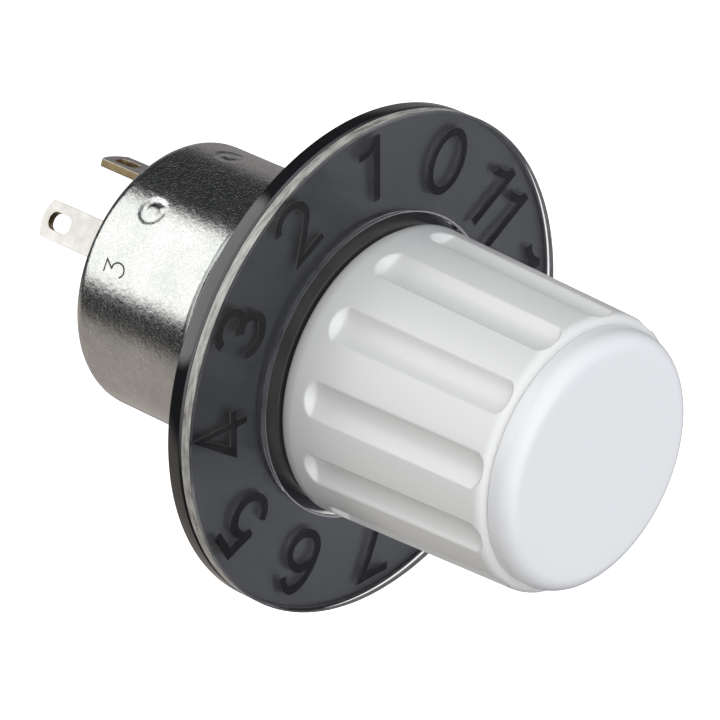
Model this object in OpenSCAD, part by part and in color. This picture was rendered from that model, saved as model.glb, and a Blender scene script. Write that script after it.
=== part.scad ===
// Rotary panel potentiometer with a turning number dial and a fluted knob.
// The shaft lies along Y and the knob points to -Y. The origin is on the shaft's axis, in
// the plane of the can's front face, which seats against the panel. +Z is up.
// Every piece is drawn along its own +Z, counted from the panel seat towards the knob,
// and is turned onto the shaft's axis at the end.

/* [Can] */
// Outer diameter of the drawn steel can
can_d = 30; // [29:0.5:36]
// Depth of the can behind the panel
can_depth = 17; // [16.5:0.5:22]
// Sheet thickness of the can
can_wall = 0.8; // [0.5:0.1:1]
// Outer radius of the can's two rounded rims
can_corner = 1.6; // [1.2:0.1:2.4]
// Width of the lip that is rolled in over the terminal plate
can_lip = 2; // [1.8:0.1:3]
// Diameter of a punched stake mark in the can's wall
stake_d = 3.3; // [2:0.1:3.4]
// Depth of a punched stake mark
stake_depth = 0.4; // [0.2:0.05:0.5]
// Distance of the stake marks from the can's rear rim
stake_from_rear = 5.9; // [5.2:0.1:5.9]
// Clock angle midway between the two marks of a pair
stake_turn = -11; // [-40:1:40]
// Angle between the two marks of a pair
stake_spread = 46; // [20:1:60]

/* [Panel mounting] */
// Thread diameter of the bushing
bushing_d = 10; // [9:0.5:12]
// Length of the bushing in front of the panel seat
bushing_len = 9.5; // [8:0.5:14]
// Diameter of the flange that holds the bushing inside the can
bushing_flange_d = 17; // [15:0.5:18]
// Thickness of that flange
bushing_flange_t = 1.6; // [1:0.1:1.8]
// Thickness of the panel that the nut is set for
panel_t = 3; // [2.5:0.5:4]
// Outer diameter of the tooth lock washer
washer_d = 16; // [15:0.5:20]
// Thickness of the lock washer
washer_t = 0.6; // [0.4:0.1:1]
// Number of teeth inside the lock washer
washer_teeth = 10; // [6:1:14]
// Size of the panel nut across its flats
nut_flats = 14; // [13:0.5:17]
// Thickness of the panel nut
nut_t = 2.5; // [2:0.1:3]
// Diameter of the locating peg
peg_d = 2.4; // [1.6:0.1:3]
// Height of the peg in front of the panel seat
peg_height = 2.2; // [1.5:0.1:3]
// Distance of the peg from the shaft's axis
peg_radius = 10.8; // [10.6:0.1:11]
// Clock angle of the peg
peg_turn = 198; // [150:1:240]

/* [Shaft] */
// Diameter of the shaft
shaft_d = 6; // [5:0.1:6.5]
// Length of the shaft in front of the panel seat
shaft_len = 32; // [28:0.5:33]
// Width of the thrust washer between the bushing and the rotor
thrust_w = 2.5; // [2:0.1:3]
// Thickness of the thrust washer
thrust_t = 0.5; // [0.4:0.1:0.6]
// Radial running clearance of the shaft in its bushing
shaft_fit = 0.03; // [0.02:0.01:0.06]
// Outer diameter of the retaining ring on the shaft
ring_d = 8.6; // [8:0.1:9.4]
// Thickness of the retaining ring
ring_t = 0.6; // [0.4:0.1:0.8]
// Depth of the retaining ring's groove
ring_groove = 0.5; // [0.3:0.1:0.7]
// Width of the shaft seal's groove
seal_w = 1.4; // [1.2:0.1:1.6]
// Outer radius of the seal's groove, less the shaft's radius
seal_depth = 1.05; // [0.8:0.05:1.1]

/* [Dial] */
// Diameter of the dial
dial_d = 55; // [48:0.5:64]
// Thickness of the black backing disc
backing_t = 1.9; // [1.4:0.1:2.6]
// Thickness of the clear number disc
clear_t = 1.5; // [1.2:0.1:2.4]
// Diameter of the hole in the clear disc
dial_hole_d = 33.2; // [33:0.1:36]
// Running gap between the bushing and the dial
dial_gap = 0.6; // [0.5:0.1:1.2]
// Edge break on both discs
dial_edge = 0.2; // [0.1:0.05:0.3]

/* [Knob] */
// Diameter of the knob at its base
knob_base_d = 31.8; // [30.4:0.2:32]
// Diameter of the knob at its front edge
knob_front_d = 29.8; // [28.4:0.2:30.2]
// Length of the knob's body
knob_body_len = 26.4; // [25:0.2:30]
// Height of the knob's base above the dial
knob_lift = 1.1; // [0.8:0.1:1.6]
// Radius of the break at the knob's base
knob_base_break = 0.4; // [0.2:0.1:0.6]
// Radius of the knob body's front edge
knob_front_edge = 1; // [0.6:0.1:1.2]
// Wall thickness of the knob's skirt behind a flute
knob_wall = 2; // [1.6:0.1:2.4]
// Thickness of the web between the knob's skirt and its hub
knob_web = 2.4; // [2:0.1:3]
// Diameter of the hub that carries the dial and the collet
hub_d = 16.4; // [15.6:0.2:18]
// Number of ribs between the hub and the skirt
rib_count = 6; // [3:1:8]
// Thickness of those ribs
rib_t = 1.2; // [0.8:0.1:1.6]
// Number of flutes round the knob
flute_count = 12; // [8:1:12]
// Radius of the ball that forms a flute
flute_ball = 2.6; // [2.2:0.1:3.2]
// Depth of a flute
flute_depth = 0.95; // [0.6:0.05:1.1]
// Plain collar between the knob's base and the flutes
flute_collar = 3.8; // [3:0.1:6]
// Distance between the flutes' ends and the front edge
flute_front = 0.6; // [0.4:0.1:2]
// Height of the cap in front of the knob's body
cap_height = 2.8; // [2.4:0.1:4]
// Radius of the cap's front edge
cap_edge = 1.8; // [1:0.1:2]
// Thickness of the cap's front
cap_top = 2.2; // [1.6:0.1:2.3]
// Length of the cap's plug inside the body
cap_plug = 3.4; // [2:0.1:4]
// Depth of the pocket behind the cap
knob_pocket = 6.4; // [6.2:0.1:6.8]

/* [Collet] */
// Thread diameter of the collet
collet_d = 8; // [7.8:0.1:8.6]
// Largest diameter of the collet's cone
collet_cone_d = 10.6; // [10:0.1:11]
// Length of the collet's cone
collet_cone_len = 6; // [4:0.5:8]
// Width of the slots in the collet
collet_slot = 0.8; // [0.5:0.1:1]
// Length of the slots in the collet
collet_slot_len = 13; // [10:0.5:16]
// Size of the collet nut across its flats
collet_nut_flats = 12; // [11:0.5:13]
// Thickness of the collet nut
collet_nut_t = 2.8; // [2.4:0.1:3]
// Thickness of the washer under the collet nut
collet_washer_t = 0.5; // [0.4:0.1:0.6]

/* [Terminals] */
// Width of a solder lug
lug_w = 4.2; // [3.4:0.1:4.6]
// Sheet thickness of a solder lug
lug_t = 0.9; // [0.6:0.1:1]
// Length of a lug behind the can
lug_reach = 12; // [8:0.5:16]
// Distance of a lug from the shaft's axis
lug_radius = 8.8; // [8:0.1:9]
// Clock angle of the middle lug
lug_turn = 17.6; // [10:0.2:26]
// Angle between one lug and the next
lug_spread = 72; // [66:1:76]
// Radius of the crowned end of a lug
lug_crown = 4; // [3:0.1:6]
// Radius of the two corners at the end of a lug
lug_corner = 0.8; // [0.4:0.1:1.2]
// Length of the wire hole
eye_len = 3.1; // [2:0.1:3.6]
// Width of the wire hole
eye_w = 2; // [1.4:0.1:2.2]
// Corner radius of the wire hole's end towards the can
eye_corner = 0.8; // [0.3:0.1:0.9]
// Corner radius of the wire hole's end towards the lug's tip
eye_round = 0.9; // [0.3:0.1:0.9]
// Distance from the lug's tip to the wire hole
eye_edge = 1; // [0.8:0.1:1.6]
// Diameter of a terminal rivet's shank
rivet_d = 1.5; // [1.2:0.1:1.7]

/* [Element] */
// Thickness of the ceramic disc
element_t = 1; // [0.8:0.1:1.2]
// Front face of the ceramic disc behind the panel seat
element_at = 7.8; // [7.6:0.1:8]
// Thickness of the printed films
film_t = 0.12; // [0.1:0.02:0.16]
// Mean radius of the resistive track
track_radius = 9.1; // [8.8:0.1:9.3]
// Width of the resistive track
track_w = 2; // [1.4:0.1:2.2]
// Mean radius of the collector ring
collector_radius = 5.8; // [5.6:0.1:6]
// Width of the collector ring
collector_w = 1.5; // [1:0.1:1.6]

/* [Travel] */
// Turn of the shaft between its stops
turn_range = 300; // [270:5:310]
// Turn of the shaft from its first stop to the position shown
rest_turn = 30; // [0:30:240]
// Half angle of the fixed stop
stop_half = 15; // [12:1:17]

/* [Hidden] */
$fn = 96;
// Overlap of a cutting shape past the face that it cuts
past = 1;
// Gap between pieces that are assembled without play
snug = 0.03;

// Radii of the can and of what fills it
can_r = can_d / 2;
bore_r = can_r - can_wall;
fill_r = bore_r - snug;
rim_inner = can_corner - can_wall;
// A ball that presses a mark of the stated diameter and depth
stake_ball = (stake_d * stake_d / 4 + stake_depth * stake_depth) / (2 * stake_depth);
stake_bump = sqrt(pow(stake_ball + can_wall, 2) - pow(stake_ball + can_wall - stake_depth, 2));
stake_turns = [for (side = [0, 180], half = [-0.5, 0.5]) stake_turn + side + half * stake_spread];

// Stack of the inside, counted back from the panel seat
flange_back = can_wall + bushing_flange_t + snug;
thrust_front = flange_back + 0.05;
rotor_front = thrust_front + thrust_t;
rotor_t = 3;
rotor_back = rotor_front + rotor_t;
element_back = element_at + element_t;
foot_front = element_back + snug;
foot_back = foot_front + lug_t;
plate_front = foot_back + snug;
plate_rear = can_depth - 0.4;
shoulder_rear = can_depth - can_wall - snug;

// Inside radii, counted in from the can's bore
ring_wall = 0.9;
stop_root = fill_r - ring_wall;
stop_r = stop_root - 2.5;
rotor_r = stop_r - 0.5;
arm_r = stop_root - 0.5;
rivet_r = rivet_d / 2;
rivet_radius = fill_r - 2.2;
rivet_head_r = rivet_r + 0.4;
rivet_head_t = 0.4;
pad_outer = rivet_radius + 0.6;
pad_inner = track_radius + track_w / 2 + 0.3;

// The stop, the arm and the gap in the track share the blocked part of the turn
blocked = 360 - turn_range;
stop_play = 1;
arm_half = blocked / 2 - stop_half - stop_play;
arm_turn = lug_turn + blocked / 2 + rest_turn;
track_gap = blocked - 4;

// Bushing and shaft
shaft_r = shaft_d / 2;
bushing_r = bushing_d / 2;
bushing_bore = shaft_r + shaft_fit;
seal_groove_r = shaft_r + seal_depth;
seal_at = bushing_len - 4;
shaft_back = rotor_back + 0.9;
thrust_bore = shaft_r + 0.1;
ring_at = bushing_len + 0.1;

// Places of the dial and the knob in front of the panel seat
dial_back = bushing_len + dial_gap;
clear_back = dial_back + backing_t;
dial_front = clear_back + clear_t;
knob_base = dial_front + knob_lift;
knob_part = knob_base + knob_body_len;
cap_front = knob_part + cap_height;
cap_r = knob_front_d / 2 - knob_front_edge;
pocket_r = cap_r - 1.5;
pocket_floor = knob_part - knob_pocket;
cavity_floor = pocket_floor - knob_web;
cavity_r = knob_front_d / 2 - flute_depth - knob_wall;
hub_r = hub_d / 2;
spigot_r = hub_r - 1.2;
spigot_back = dial_back + 0.3;

// Collet, set so that its nut pulls the cone into the knob's seat
collet_r = collet_d / 2;
collet_back = knob_base - 0.9;
collet_bore = shaft_r + snug;
collet_nut_at = pocket_floor + collet_washer_t;
collet_front = collet_nut_at + collet_nut_t + 0.8;

// Turns a piece from its own +Z onto the shaft's axis
module on_shaft() {
    rotate([90, 0, 0])
        children();
}

// Turns what is drawn at 12 o'clock to a clock angle, as seen from the knob
module at_clock(turn) {
    rotate([0, 0, -turn])
        children();
}

// A sleeve between two stations along the shaft
module sleeve(outer, inner, from, to) {
    difference() {
        translate([0, 0, from])
            cylinder(r = outer, h = to - from);
        translate([0, 0, from - past])
            cylinder(r = inner, h = to - from + 2 * past);
    }
}

// Part of a sleeve, centred on 12 o'clock and half_angle wide to each side
module sleeve_sector(outer, inner, from, to, half_angle) {
    rotate([0, 0, 90 - half_angle])
        rotate_extrude(angle = 2 * half_angle)
            translate([inner, from])
                square([outer - inner, to - from]);
}

// Half section of a drum with both rims rounded, from its axis outwards
module drum_section(radius, back, front, rim) {
    translate([0, back])
        square([radius - rim, front - back]);
    translate([0, back + rim])
        square([radius, front - back - 2 * rim]);
    for (station = [back + rim, front - rim])
        translate([radius - rim, station])
            circle(r = rim);
}

// Everything inside the shaft's half plane, used to trim a half section
module half_plane(radius, back, front) {
    translate([0, back])
        square([radius, front - back]);
}

// Solid wedge that holds one flute, from the front ball to the base ball
module flute_cutter() {
    taper = (knob_base_d - knob_front_d) / 2 / knob_body_len;
    lean = atan(taper);
    half_chord = sqrt(flute_ball * flute_ball - pow(flute_ball - flute_depth, 2));
    low = knob_base + flute_collar + half_chord;
    high = knob_part - flute_front - half_chord;
    centre_low = knob_base_d / 2 - taper * (low - knob_base) + flute_ball - flute_depth;
    run = (high - low) / cos(lean);
    translate([0, centre_low, low])
        rotate([lean, 0, 0]) {
            sphere(r = flute_ball);
            cylinder(r = flute_ball, h = run);
            translate([0, 0, run])
                sphere(r = flute_ball);
        }
}

// Drawn cup: front wall with the bushing's hole, rolled lip at the rear, punched stakes
module housing_can() {
    ball_centre = can_r + stake_ball - stake_depth;
    color("silver")
    on_shaft()
        difference() {
            union() {
                rotate_extrude()
                    difference() {
                        intersection() {
                            drum_section(can_r, -can_depth, 0, can_corner);
                            half_plane(can_r + past, -can_depth - past, past);
                        }
                        drum_section(bore_r, can_wall - can_depth, -can_wall, rim_inner);
                        translate([-past, -can_wall - past])
                            square([bushing_r + snug + past, can_wall + 2 * past]);
                        translate([-past, -can_depth - past])
                            square([can_r - can_lip + past, can_wall + 2 * past]);
                    }
                for (turn = stake_turns)
                    at_clock(turn)
                        intersection() {
                            translate([0, ball_centre, stake_from_rear - can_depth])
                                sphere(r = stake_ball + can_wall);
                            sleeve(can_r - can_wall / 2, bore_r - stake_depth - past,
                                -can_depth + 2, -2);
                        }
            }
            for (turn = stake_turns)
                at_clock(turn)
                    translate([0, ball_centre, stake_from_rear - can_depth])
                        sphere(r = stake_ball);
            at_clock(peg_turn)
                translate([0, peg_radius, -can_wall - past])
                    cylinder(r = peg_d / 2 + snug, h = can_wall + 2 * past);
        }
}

// Bushing with its inside flange, the shaft's bore and the seal's groove
module threaded_bushing() {
    lead = 0.5;
    color("gainsboro")
    on_shaft()
        difference() {
            union() {
                translate([0, 0, -flange_back])
                    cylinder(r = bushing_flange_d / 2, h = bushing_flange_t);
                translate([0, 0, -flange_back + past / 2])
                    cylinder(r = bushing_r, h = flange_back - past / 2 + bushing_len - lead);
                translate([0, 0, bushing_len - lead])
                    cylinder(r1 = bushing_r, r2 = bushing_r - lead, h = lead);
            }
            translate([0, 0, -flange_back - past])
                cylinder(r = bushing_bore, h = flange_back + bushing_len + 2 * past);
            translate([0, 0, seal_at])
                cylinder(r = seal_groove_r, h = seal_w);
        }
}

// Peg that keeps the can from turning in the panel, headed inside the can
module locating_peg() {
    head_t = 0.8;
    point = 0.4;
    color("silver")
    on_shaft()
        at_clock(peg_turn)
            translate([0, peg_radius, 0]) {
                translate([0, 0, -can_wall - snug])
                    cylinder(r = peg_d / 2, h = can_wall + snug + peg_height - point);
                translate([0, 0, peg_height - point])
                    cylinder(r1 = peg_d / 2, r2 = peg_d / 2 - point, h = point);
                translate([0, 0, -can_wall - snug - head_t])
                    cylinder(r = peg_d / 2 + 0.5, h = head_t);
            }
}

// Ring that holds the ceramic disc away from the can's front and carries the fixed stop
module stop_ring() {
    front = can_wall + snug;
    color("darkgray")
    on_shaft() {
        difference() {
            sleeve(fill_r, stop_root, -element_at + snug, -front);
            rotate_extrude()
                translate([0, -front])
                    polygon([[fill_r - rim_inner, 0], [fill_r + past, 0],
                        [fill_r + past, -rim_inner], [fill_r, -rim_inner]]);
        }
        at_clock(lug_turn)
            sleeve_sector(stop_root + 0.2, stop_r, -rotor_back, -front, stop_half);
    }
}

// Internal tooth lock washer behind the panel nut
module lock_washer() {
    tooth_root = bushing_r + 1.6;
    tooth_tip = bushing_r + 0.15;
    tooth_w = 1.2;
    color("gainsboro")
    on_shaft() {
        sleeve(washer_d / 2, tooth_root, panel_t, panel_t + washer_t);
        for (tooth = [0 : washer_teeth - 1])
            at_clock(tooth * 360 / washer_teeth)
                translate([-tooth_w / 2, tooth_tip, panel_t])
                    cube([tooth_w, tooth_root - tooth_tip + 0.3, washer_t]);
    }
}

// Hexagon nut with both rims chamfered
module hex_nut(flats, thickness, bore, from) {
    corner_r = flats / 2 / cos(30);
    chamfer = (corner_r - flats / 2) * 0.6;
    translate([0, 0, from])
        difference() {
            intersection() {
                cylinder(r = corner_r, h = thickness, $fn = 6);
                union() {
                    cylinder(r1 = flats / 2, r2 = corner_r, h = chamfer);
                    translate([0, 0, chamfer])
                        cylinder(r = corner_r, h = thickness - 2 * chamfer);
                    translate([0, 0, thickness - chamfer])
                        cylinder(r1 = corner_r, r2 = flats / 2, h = chamfer);
                }
            }
            translate([0, 0, -past])
                cylinder(r = bore, h = thickness + 2 * past);
        }
}

module panel_nut() {
    color("gainsboro")
    on_shaft()
        hex_nut(nut_flats, nut_t, bushing_r + snug, panel_t + washer_t);
}

// Round seal between the shaft and its bushing
module shaft_seal() {
    section = (seal_groove_r - snug - bushing_bore) / 2;
    color("black")
    on_shaft()
        rotate_extrude()
            translate([bushing_bore + section, seal_at + seal_w / 2])
                circle(r = section, $fn = 32);
}

// Ceramic disc with the three rivet holes
module element_disc() {
    color("white")
    on_shaft()
        difference() {
            sleeve(fill_r, shaft_r + 0.8, -element_back, -element_at);
            for (turn = [-lug_spread, 0, lug_spread])
                at_clock(lug_turn + turn)
                    translate([0, rivet_radius, -element_back - past])
                        cylinder(r = rivet_r + snug, h = element_t + 2 * past);
        }
}

// Horseshoe of cermet, open at the middle terminal
module resistive_track() {
    color("dimgray")
    on_shaft()
        at_clock(lug_turn + 180)
            sleeve_sector(track_radius + track_w / 2, track_radius - track_w / 2,
                -element_at, -element_at + film_t, (360 - track_gap) / 2);
}

// Printed silver: the collector with its link, and the leads to the track's two ends
module conductor_film() {
    link_half = 6;
    end_half = track_gap / 2;
    rivet_half = asin((rivet_head_r + 0.2) / rivet_radius);
    lead_half = (lug_spread + rivet_half - end_half + 4) / 2;
    front = -element_at + film_t;
    color("lightgray")
    on_shaft() {
        difference() {
            union() {
                sleeve(collector_radius + collector_w / 2, collector_radius - collector_w / 2,
                    -element_at, front);
                at_clock(lug_turn)
                    sleeve_sector(pad_outer, collector_radius, -element_at, front, link_half);
            }
            at_clock(lug_turn)
                translate([0, rivet_radius, -element_back])
                    cylinder(r = rivet_r + snug, h = element_t + past);
        }
        for (side = [-1, 1])
            difference() {
                union() {
                    at_clock(lug_turn + side * (end_half - 4 + lead_half))
                        sleeve_sector(pad_outer, pad_inner, -element_at, front, lead_half);
                    at_clock(lug_turn + side * (end_half - 2))
                        sleeve_sector(pad_inner + 0.5, track_radius - track_w / 2, -element_at,
                            front, 1.8);
                }
                at_clock(lug_turn + side * lug_spread)
                    translate([0, rivet_radius, -element_back])
                        cylinder(r = rivet_r + snug, h = element_t + past);
            }
    }
}

// Moulded plate that closes the can's rear, grooved for the stakes and slotted for the lugs
module terminal_plate() {
    groove_r = bore_r - stake_depth - 0.1;
    groove_half = stake_bump + 0.2;
    stake_s = stake_from_rear - can_depth;
    rim_r = fill_r - 0.6;
    neck_r = can_r - can_lip - snug;
    color([0.16, 0.15, 0.14])
    on_shaft()
        difference() {
            rotate_extrude()
                polygon([[0, -plate_rear], [neck_r, -plate_rear], [neck_r, -shoulder_rear],
                    [fill_r - rim_inner, -shoulder_rear], [fill_r, -shoulder_rear + rim_inner],
                    [fill_r, stake_s - groove_half], [groove_r, stake_s - groove_half],
                    [groove_r, stake_s + groove_half], [fill_r, stake_s + groove_half],
                    [fill_r, -element_back - snug], [rim_r, -element_back - snug],
                    [rim_r, -plate_front], [0, -plate_front]]);
            for (turn = [-lug_spread, 0, lug_spread])
                at_clock(lug_turn + turn) {
                    translate([-lug_w / 2 - snug, lug_radius - lug_t / 2 - snug,
                        -can_depth - past])
                        cube([lug_w + 2 * snug, lug_t + 2 * snug, can_depth]);
                    translate([0, rivet_radius, -plate_front - rivet_head_t - 0.2])
                        cylinder(r = rivet_head_r + 0.2, h = rivet_head_t + 0.2 + past);
                }
        }
}

// Outline of a lug with its crowned and rounded tip towards -Y
module lug_outline(length) {
    corner_x = lug_w / 2 - lug_corner;
    translate([-lug_w / 2, lug_crown - length])
        square([lug_w, length - lug_crown]);
    intersection() {
        union() {
            translate([-lug_w / 2, lug_corner - length])
                square([lug_w, lug_crown]);
            translate([-corner_x, -length])
                square([2 * corner_x, lug_crown]);
            for (side = [-1, 1])
                translate([side * corner_x, lug_corner - length])
                    circle(r = lug_corner, $fn = 32);
        }
        translate([0, lug_crown - length])
            circle(r = lug_crown);
    }
}

// Wire hole whose end towards the lug's tip, at the origin, is rounder than the other
module eye_outline() {
    translate([-eye_w / 2, eye_round])
        square([eye_w, eye_len - eye_round - eye_corner]);
    translate([-eye_w / 2 + eye_corner, eye_len / 2])
        square([eye_w - 2 * eye_corner, eye_len / 2]);
    translate([-eye_w / 2 + eye_round, 0])
        square([eye_w - 2 * eye_round, eye_len / 2]);
    for (side = [-1, 1]) {
        translate([side * (eye_w / 2 - eye_corner), eye_len - eye_corner])
            circle(r = eye_corner, $fn = 32);
        translate([side * (eye_w / 2 - eye_round), eye_round])
            circle(r = eye_round, $fn = 32);
    }
}

// Flat lug with a foot that is bent out under the ceramic disc and riveted to it
module terminal(turn) {
    length = can_depth + lug_reach - foot_front;
    foot_out = rivet_radius + rivet_head_r + 0.1;
    color([0.88, 0.87, 0.82])
    on_shaft()
        at_clock(turn)
            difference() {
                union() {
                    translate([0, lug_radius + lug_t / 2, -foot_front])
                        rotate([90, 0, 0])
                            linear_extrude(height = lug_t)
                                difference() {
                                    lug_outline(length);
                                    translate([0, -length + eye_edge])
                                        eye_outline();
                                }
                    translate([-lug_w / 2, lug_radius - lug_t / 2, -foot_back])
                        cube([lug_w, foot_out - lug_radius + lug_t / 2, lug_t]);
                }
                translate([0, rivet_radius, -foot_back - past])
                    cylinder(r = rivet_r + snug, h = lug_t + 2 * past);
            }
}

// Rivets through the lugs' feet, the ceramic disc and its silver
module terminal_rivets() {
    front = element_at - film_t - snug;
    color("gainsboro")
    on_shaft()
        for (turn = [-lug_spread, 0, lug_spread])
            at_clock(lug_turn + turn)
                translate([0, rivet_radius, 0]) {
                    translate([0, 0, -foot_back - snug - rivet_head_t / 2])
                        cylinder(r = rivet_r,
                            h = foot_back - front + snug + rivet_head_t);
                    translate([0, 0, -front])
                        cylinder(r = rivet_head_r, h = rivet_head_t);
                    translate([0, 0, -foot_back - snug - rivet_head_t])
                        cylinder(r = rivet_head_r, h = rivet_head_t);
                }
}

// Shaft with its ring groove and chamfered end
module shaft() {
    lead = 0.6;
    color("lightsteelblue")
    on_shaft()
        difference() {
            union() {
                translate([0, 0, -shaft_back])
                    cylinder(r = shaft_r, h = shaft_back + shaft_len - lead);
                translate([0, 0, shaft_len - lead])
                    cylinder(r1 = shaft_r, r2 = shaft_r - lead, h = lead);
            }
            sleeve(shaft_r + past, shaft_r - ring_groove, ring_at - snug, ring_at + ring_t + snug);
        }
}

// Open ring that snaps into the shaft's groove in front of the bushing
module retaining_ring() {
    open_half = 28;
    color("slategray")
    on_shaft()
        at_clock(180)
            sleeve_sector(ring_d / 2, shaft_r - ring_groove + snug, ring_at, ring_at + ring_t,
                180 - open_half);
}

module thrust_washer() {
    color("goldenrod")
    on_shaft()
        sleeve(thrust_bore + thrust_w, thrust_bore, -rotor_front + 0.02, -thrust_front);
}

// Moulded rotor with the stop arm, pressed on the shaft
module rotor() {
    hub = 1.5;
    color([0.2, 0.22, 0.26])
    on_shaft()
        difference() {
            union() {
                translate([0, 0, -rotor_back])
                    cylinder(r = rotor_r, h = rotor_t);
                at_clock(arm_turn)
                    sleeve_sector(arm_r, rotor_r - 0.3, -rotor_back + 0.4, -rotor_front, arm_half);
                translate([0, 0, -shaft_back])
                    cylinder(r = shaft_r + hub, h = shaft_back - rotor_back + past / 2);
            }
            translate([0, 0, -shaft_back - past])
                cylinder(r = shaft_r + snug, h = shaft_back);
        }
}

// Sheet ring behind the rotor with sprung fingers on the track and on the collector
module wiper_spring() {
    sheet = 0.2;
    finger_w = 0.35;
    reach = 3.4;
    seat = rotor_back + 0.02;
    drop = element_at - film_t - 0.1 - seat - sheet;
    lean = asin((drop - sheet / 2) / reach);
    spacing = (min(track_w, collector_w) - finger_w) / 2;
    color("goldenrod")
    on_shaft()
        at_clock(arm_turn) {
            sleeve_sector(track_radius + track_w / 2 + 0.2, shaft_r + 1.7, -seat - sheet, -seat,
                60);
            for (radius = [collector_radius, track_radius], row = [-1, 0, 1])
                translate([reach * cos(lean), radius + row * spacing - finger_w / 2,
                    -seat - sheet])
                    rotate([0, -lean, 0])
                        translate([-reach, 0, 0])
                            cube([reach, finger_w, sheet]);
        }
}

// Plain disc with both rims broken
module dial_plate(hole_r, from, thickness) {
    radius = dial_d / 2;
    rotate_extrude()
        polygon([[hole_r, from], [radius - dial_edge, from], [radius, from + dial_edge],
            [radius, from + thickness - dial_edge], [radius - dial_edge, from + thickness],
            [hole_r, from + thickness]]);
}

module dial_backing() {
    color([0.08, 0.08, 0.09])
    on_shaft()
        dial_plate(spigot_r + snug, dial_back, backing_t);
}

module dial_disc() {
    color([0.45, 0.46, 0.5])
    on_shaft()
        dial_plate(dial_hole_d / 2, clear_back, clear_t);
}

// Outer half section of the knob's body, from its axis outwards
module knob_section() {
    base_r = knob_base_d / 2;
    front_r = knob_front_d / 2;
    edge = knob_front_edge;
    polygon([[0, knob_base], [base_r - knob_base_break, knob_base],
        [base_r, knob_base + knob_base_break], [front_r, knob_part - edge],
        [front_r - edge, knob_part - edge], [front_r - edge, knob_part], [0, knob_part]]);
    translate([front_r - edge, knob_part - edge])
        circle(r = edge);
}

// Moulded knob: fluted skirt, front web, hub that carries the dial and the collet's seat
module knob_body() {
    seat_r = collet_r + snug;
    cone_r = collet_cone_d / 2 + snug;
    rib_back = knob_base + 6;
    color("white")
    on_shaft()
        difference() {
            union() {
                difference() {
                    rotate_extrude()
                        intersection() {
                            knob_section();
                            half_plane(knob_base_d, knob_base - past, knob_part + past);
                        }
                    for (flute = [0 : flute_count - 1])
                        at_clock((flute + 0.5) * 360 / flute_count)
                            flute_cutter();
                    translate([0, 0, knob_base - past])
                        cylinder(r = cavity_r, h = cavity_floor - knob_base + past);
                    translate([0, 0, pocket_floor])
                        cylinder(r = pocket_r, h = knob_pocket + past);
                }
                translate([0, 0, clear_back])
                    cylinder(r = hub_r, h = cavity_floor - clear_back + past);
                translate([0, 0, spigot_back])
                    cylinder(r = spigot_r, h = clear_back - spigot_back + past);
                for (rib = [0 : rib_count - 1])
                    at_clock(rib * 360 / rib_count)
                        translate([-rib_t / 2, hub_r - 0.4, rib_back])
                            cube([rib_t, cavity_r - hub_r + 0.8,
                                cavity_floor - rib_back + past]);
            }
            translate([0, 0, spigot_back - past])
                cylinder(r = cone_r, h = collet_back - spigot_back + past);
            translate([0, 0, collet_back])
                cylinder(r1 = cone_r, r2 = seat_r, h = collet_cone_len);
            translate([0, 0, collet_back + collet_cone_len - 0.01])
                cylinder(r = seat_r, h = knob_body_len);
        }
}

// Cap with a rounded front rim and a plug that presses into the knob's body
module knob_cap() {
    plug_r = pocket_r - snug;
    color([0.95, 0.95, 0.97])
    on_shaft()
        difference() {
            rotate_extrude()
                intersection() {
                    union() {
                        intersection() {
                            drum_section(cap_r, knob_part - cap_edge, cap_front, cap_edge);
                            half_plane(cap_r + past, knob_part + snug, cap_front + past);
                        }
                        half_plane(plug_r, knob_part - cap_plug, knob_part + past / 2);
                    }
                    half_plane(cap_r + past, knob_part - cap_plug - past, cap_front + past);
                }
            translate([0, 0, knob_part - cap_plug - past])
                cylinder(r = plug_r - 1.4, h = cap_plug + past + cap_height - cap_top);
        }
}

// Split collet: cone at the rear, thread at the front
module collet() {
    color("goldenrod")
    on_shaft()
        difference() {
            union() {
                translate([0, 0, collet_back])
                    cylinder(r1 = collet_cone_d / 2, r2 = collet_r, h = collet_cone_len);
                translate([0, 0, collet_back + collet_cone_len - 0.01])
                    cylinder(r = collet_r, h = collet_front - collet_back - collet_cone_len);
            }
            translate([0, 0, collet_back - past])
                cylinder(r = collet_bore, h = shaft_len + past - collet_back + 0.5);
            for (turn = [0, 90])
                rotate([0, 0, turn])
                    translate([-collet_cone_d, -collet_slot / 2, collet_back - past])
                        cube([2 * collet_cone_d, collet_slot, collet_slot_len + past]);
        }
}

module collet_washer() {
    color("gainsboro")
    on_shaft()
        sleeve(collet_nut_flats / 2 + 0.4, collet_r + snug, pocket_floor,
            pocket_floor + collet_washer_t);
}

module collet_nut() {
    color("goldenrod")
    on_shaft()
        hex_nut(collet_nut_flats, collet_nut_t, collet_r + snug, collet_nut_at);
}

housing_can();
threaded_bushing();
locating_peg();
stop_ring();
lock_washer();
panel_nut();
shaft_seal();
element_disc();
resistive_track();
conductor_film();
terminal_plate();
terminal(lug_turn + lug_spread);  // terminal_1
terminal(lug_turn);  // terminal_2
terminal(lug_turn - lug_spread);  // terminal_3
terminal_rivets();
shaft();
retaining_ring();
thrust_washer();
rotor();
wiper_spring();
dial_backing();
dial_disc();
knob_body();
knob_cap();
collet();
collet_washer();
collet_nut();
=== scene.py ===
"""Looks of a panel potentiometer with a turning number dial and a fluted knob.

Sizes here are millimetres and become metres when a mesh is made. A station is the distance
in front of the panel seat along the shaft, which points to -Y, and a clock angle is counted
in degrees from 12 o'clock, clockwise as seen from the knob.
"""

import logging
import math
from contextlib import contextmanager
from dataclasses import dataclass, field
from enum import Enum
from typing import Callable, Iterator, Sequence

import bmesh
import bpy
import numpy as np
from mathutils import Matrix, Vector
from mathutils.geometry import delaunay_2d_cdt


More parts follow.
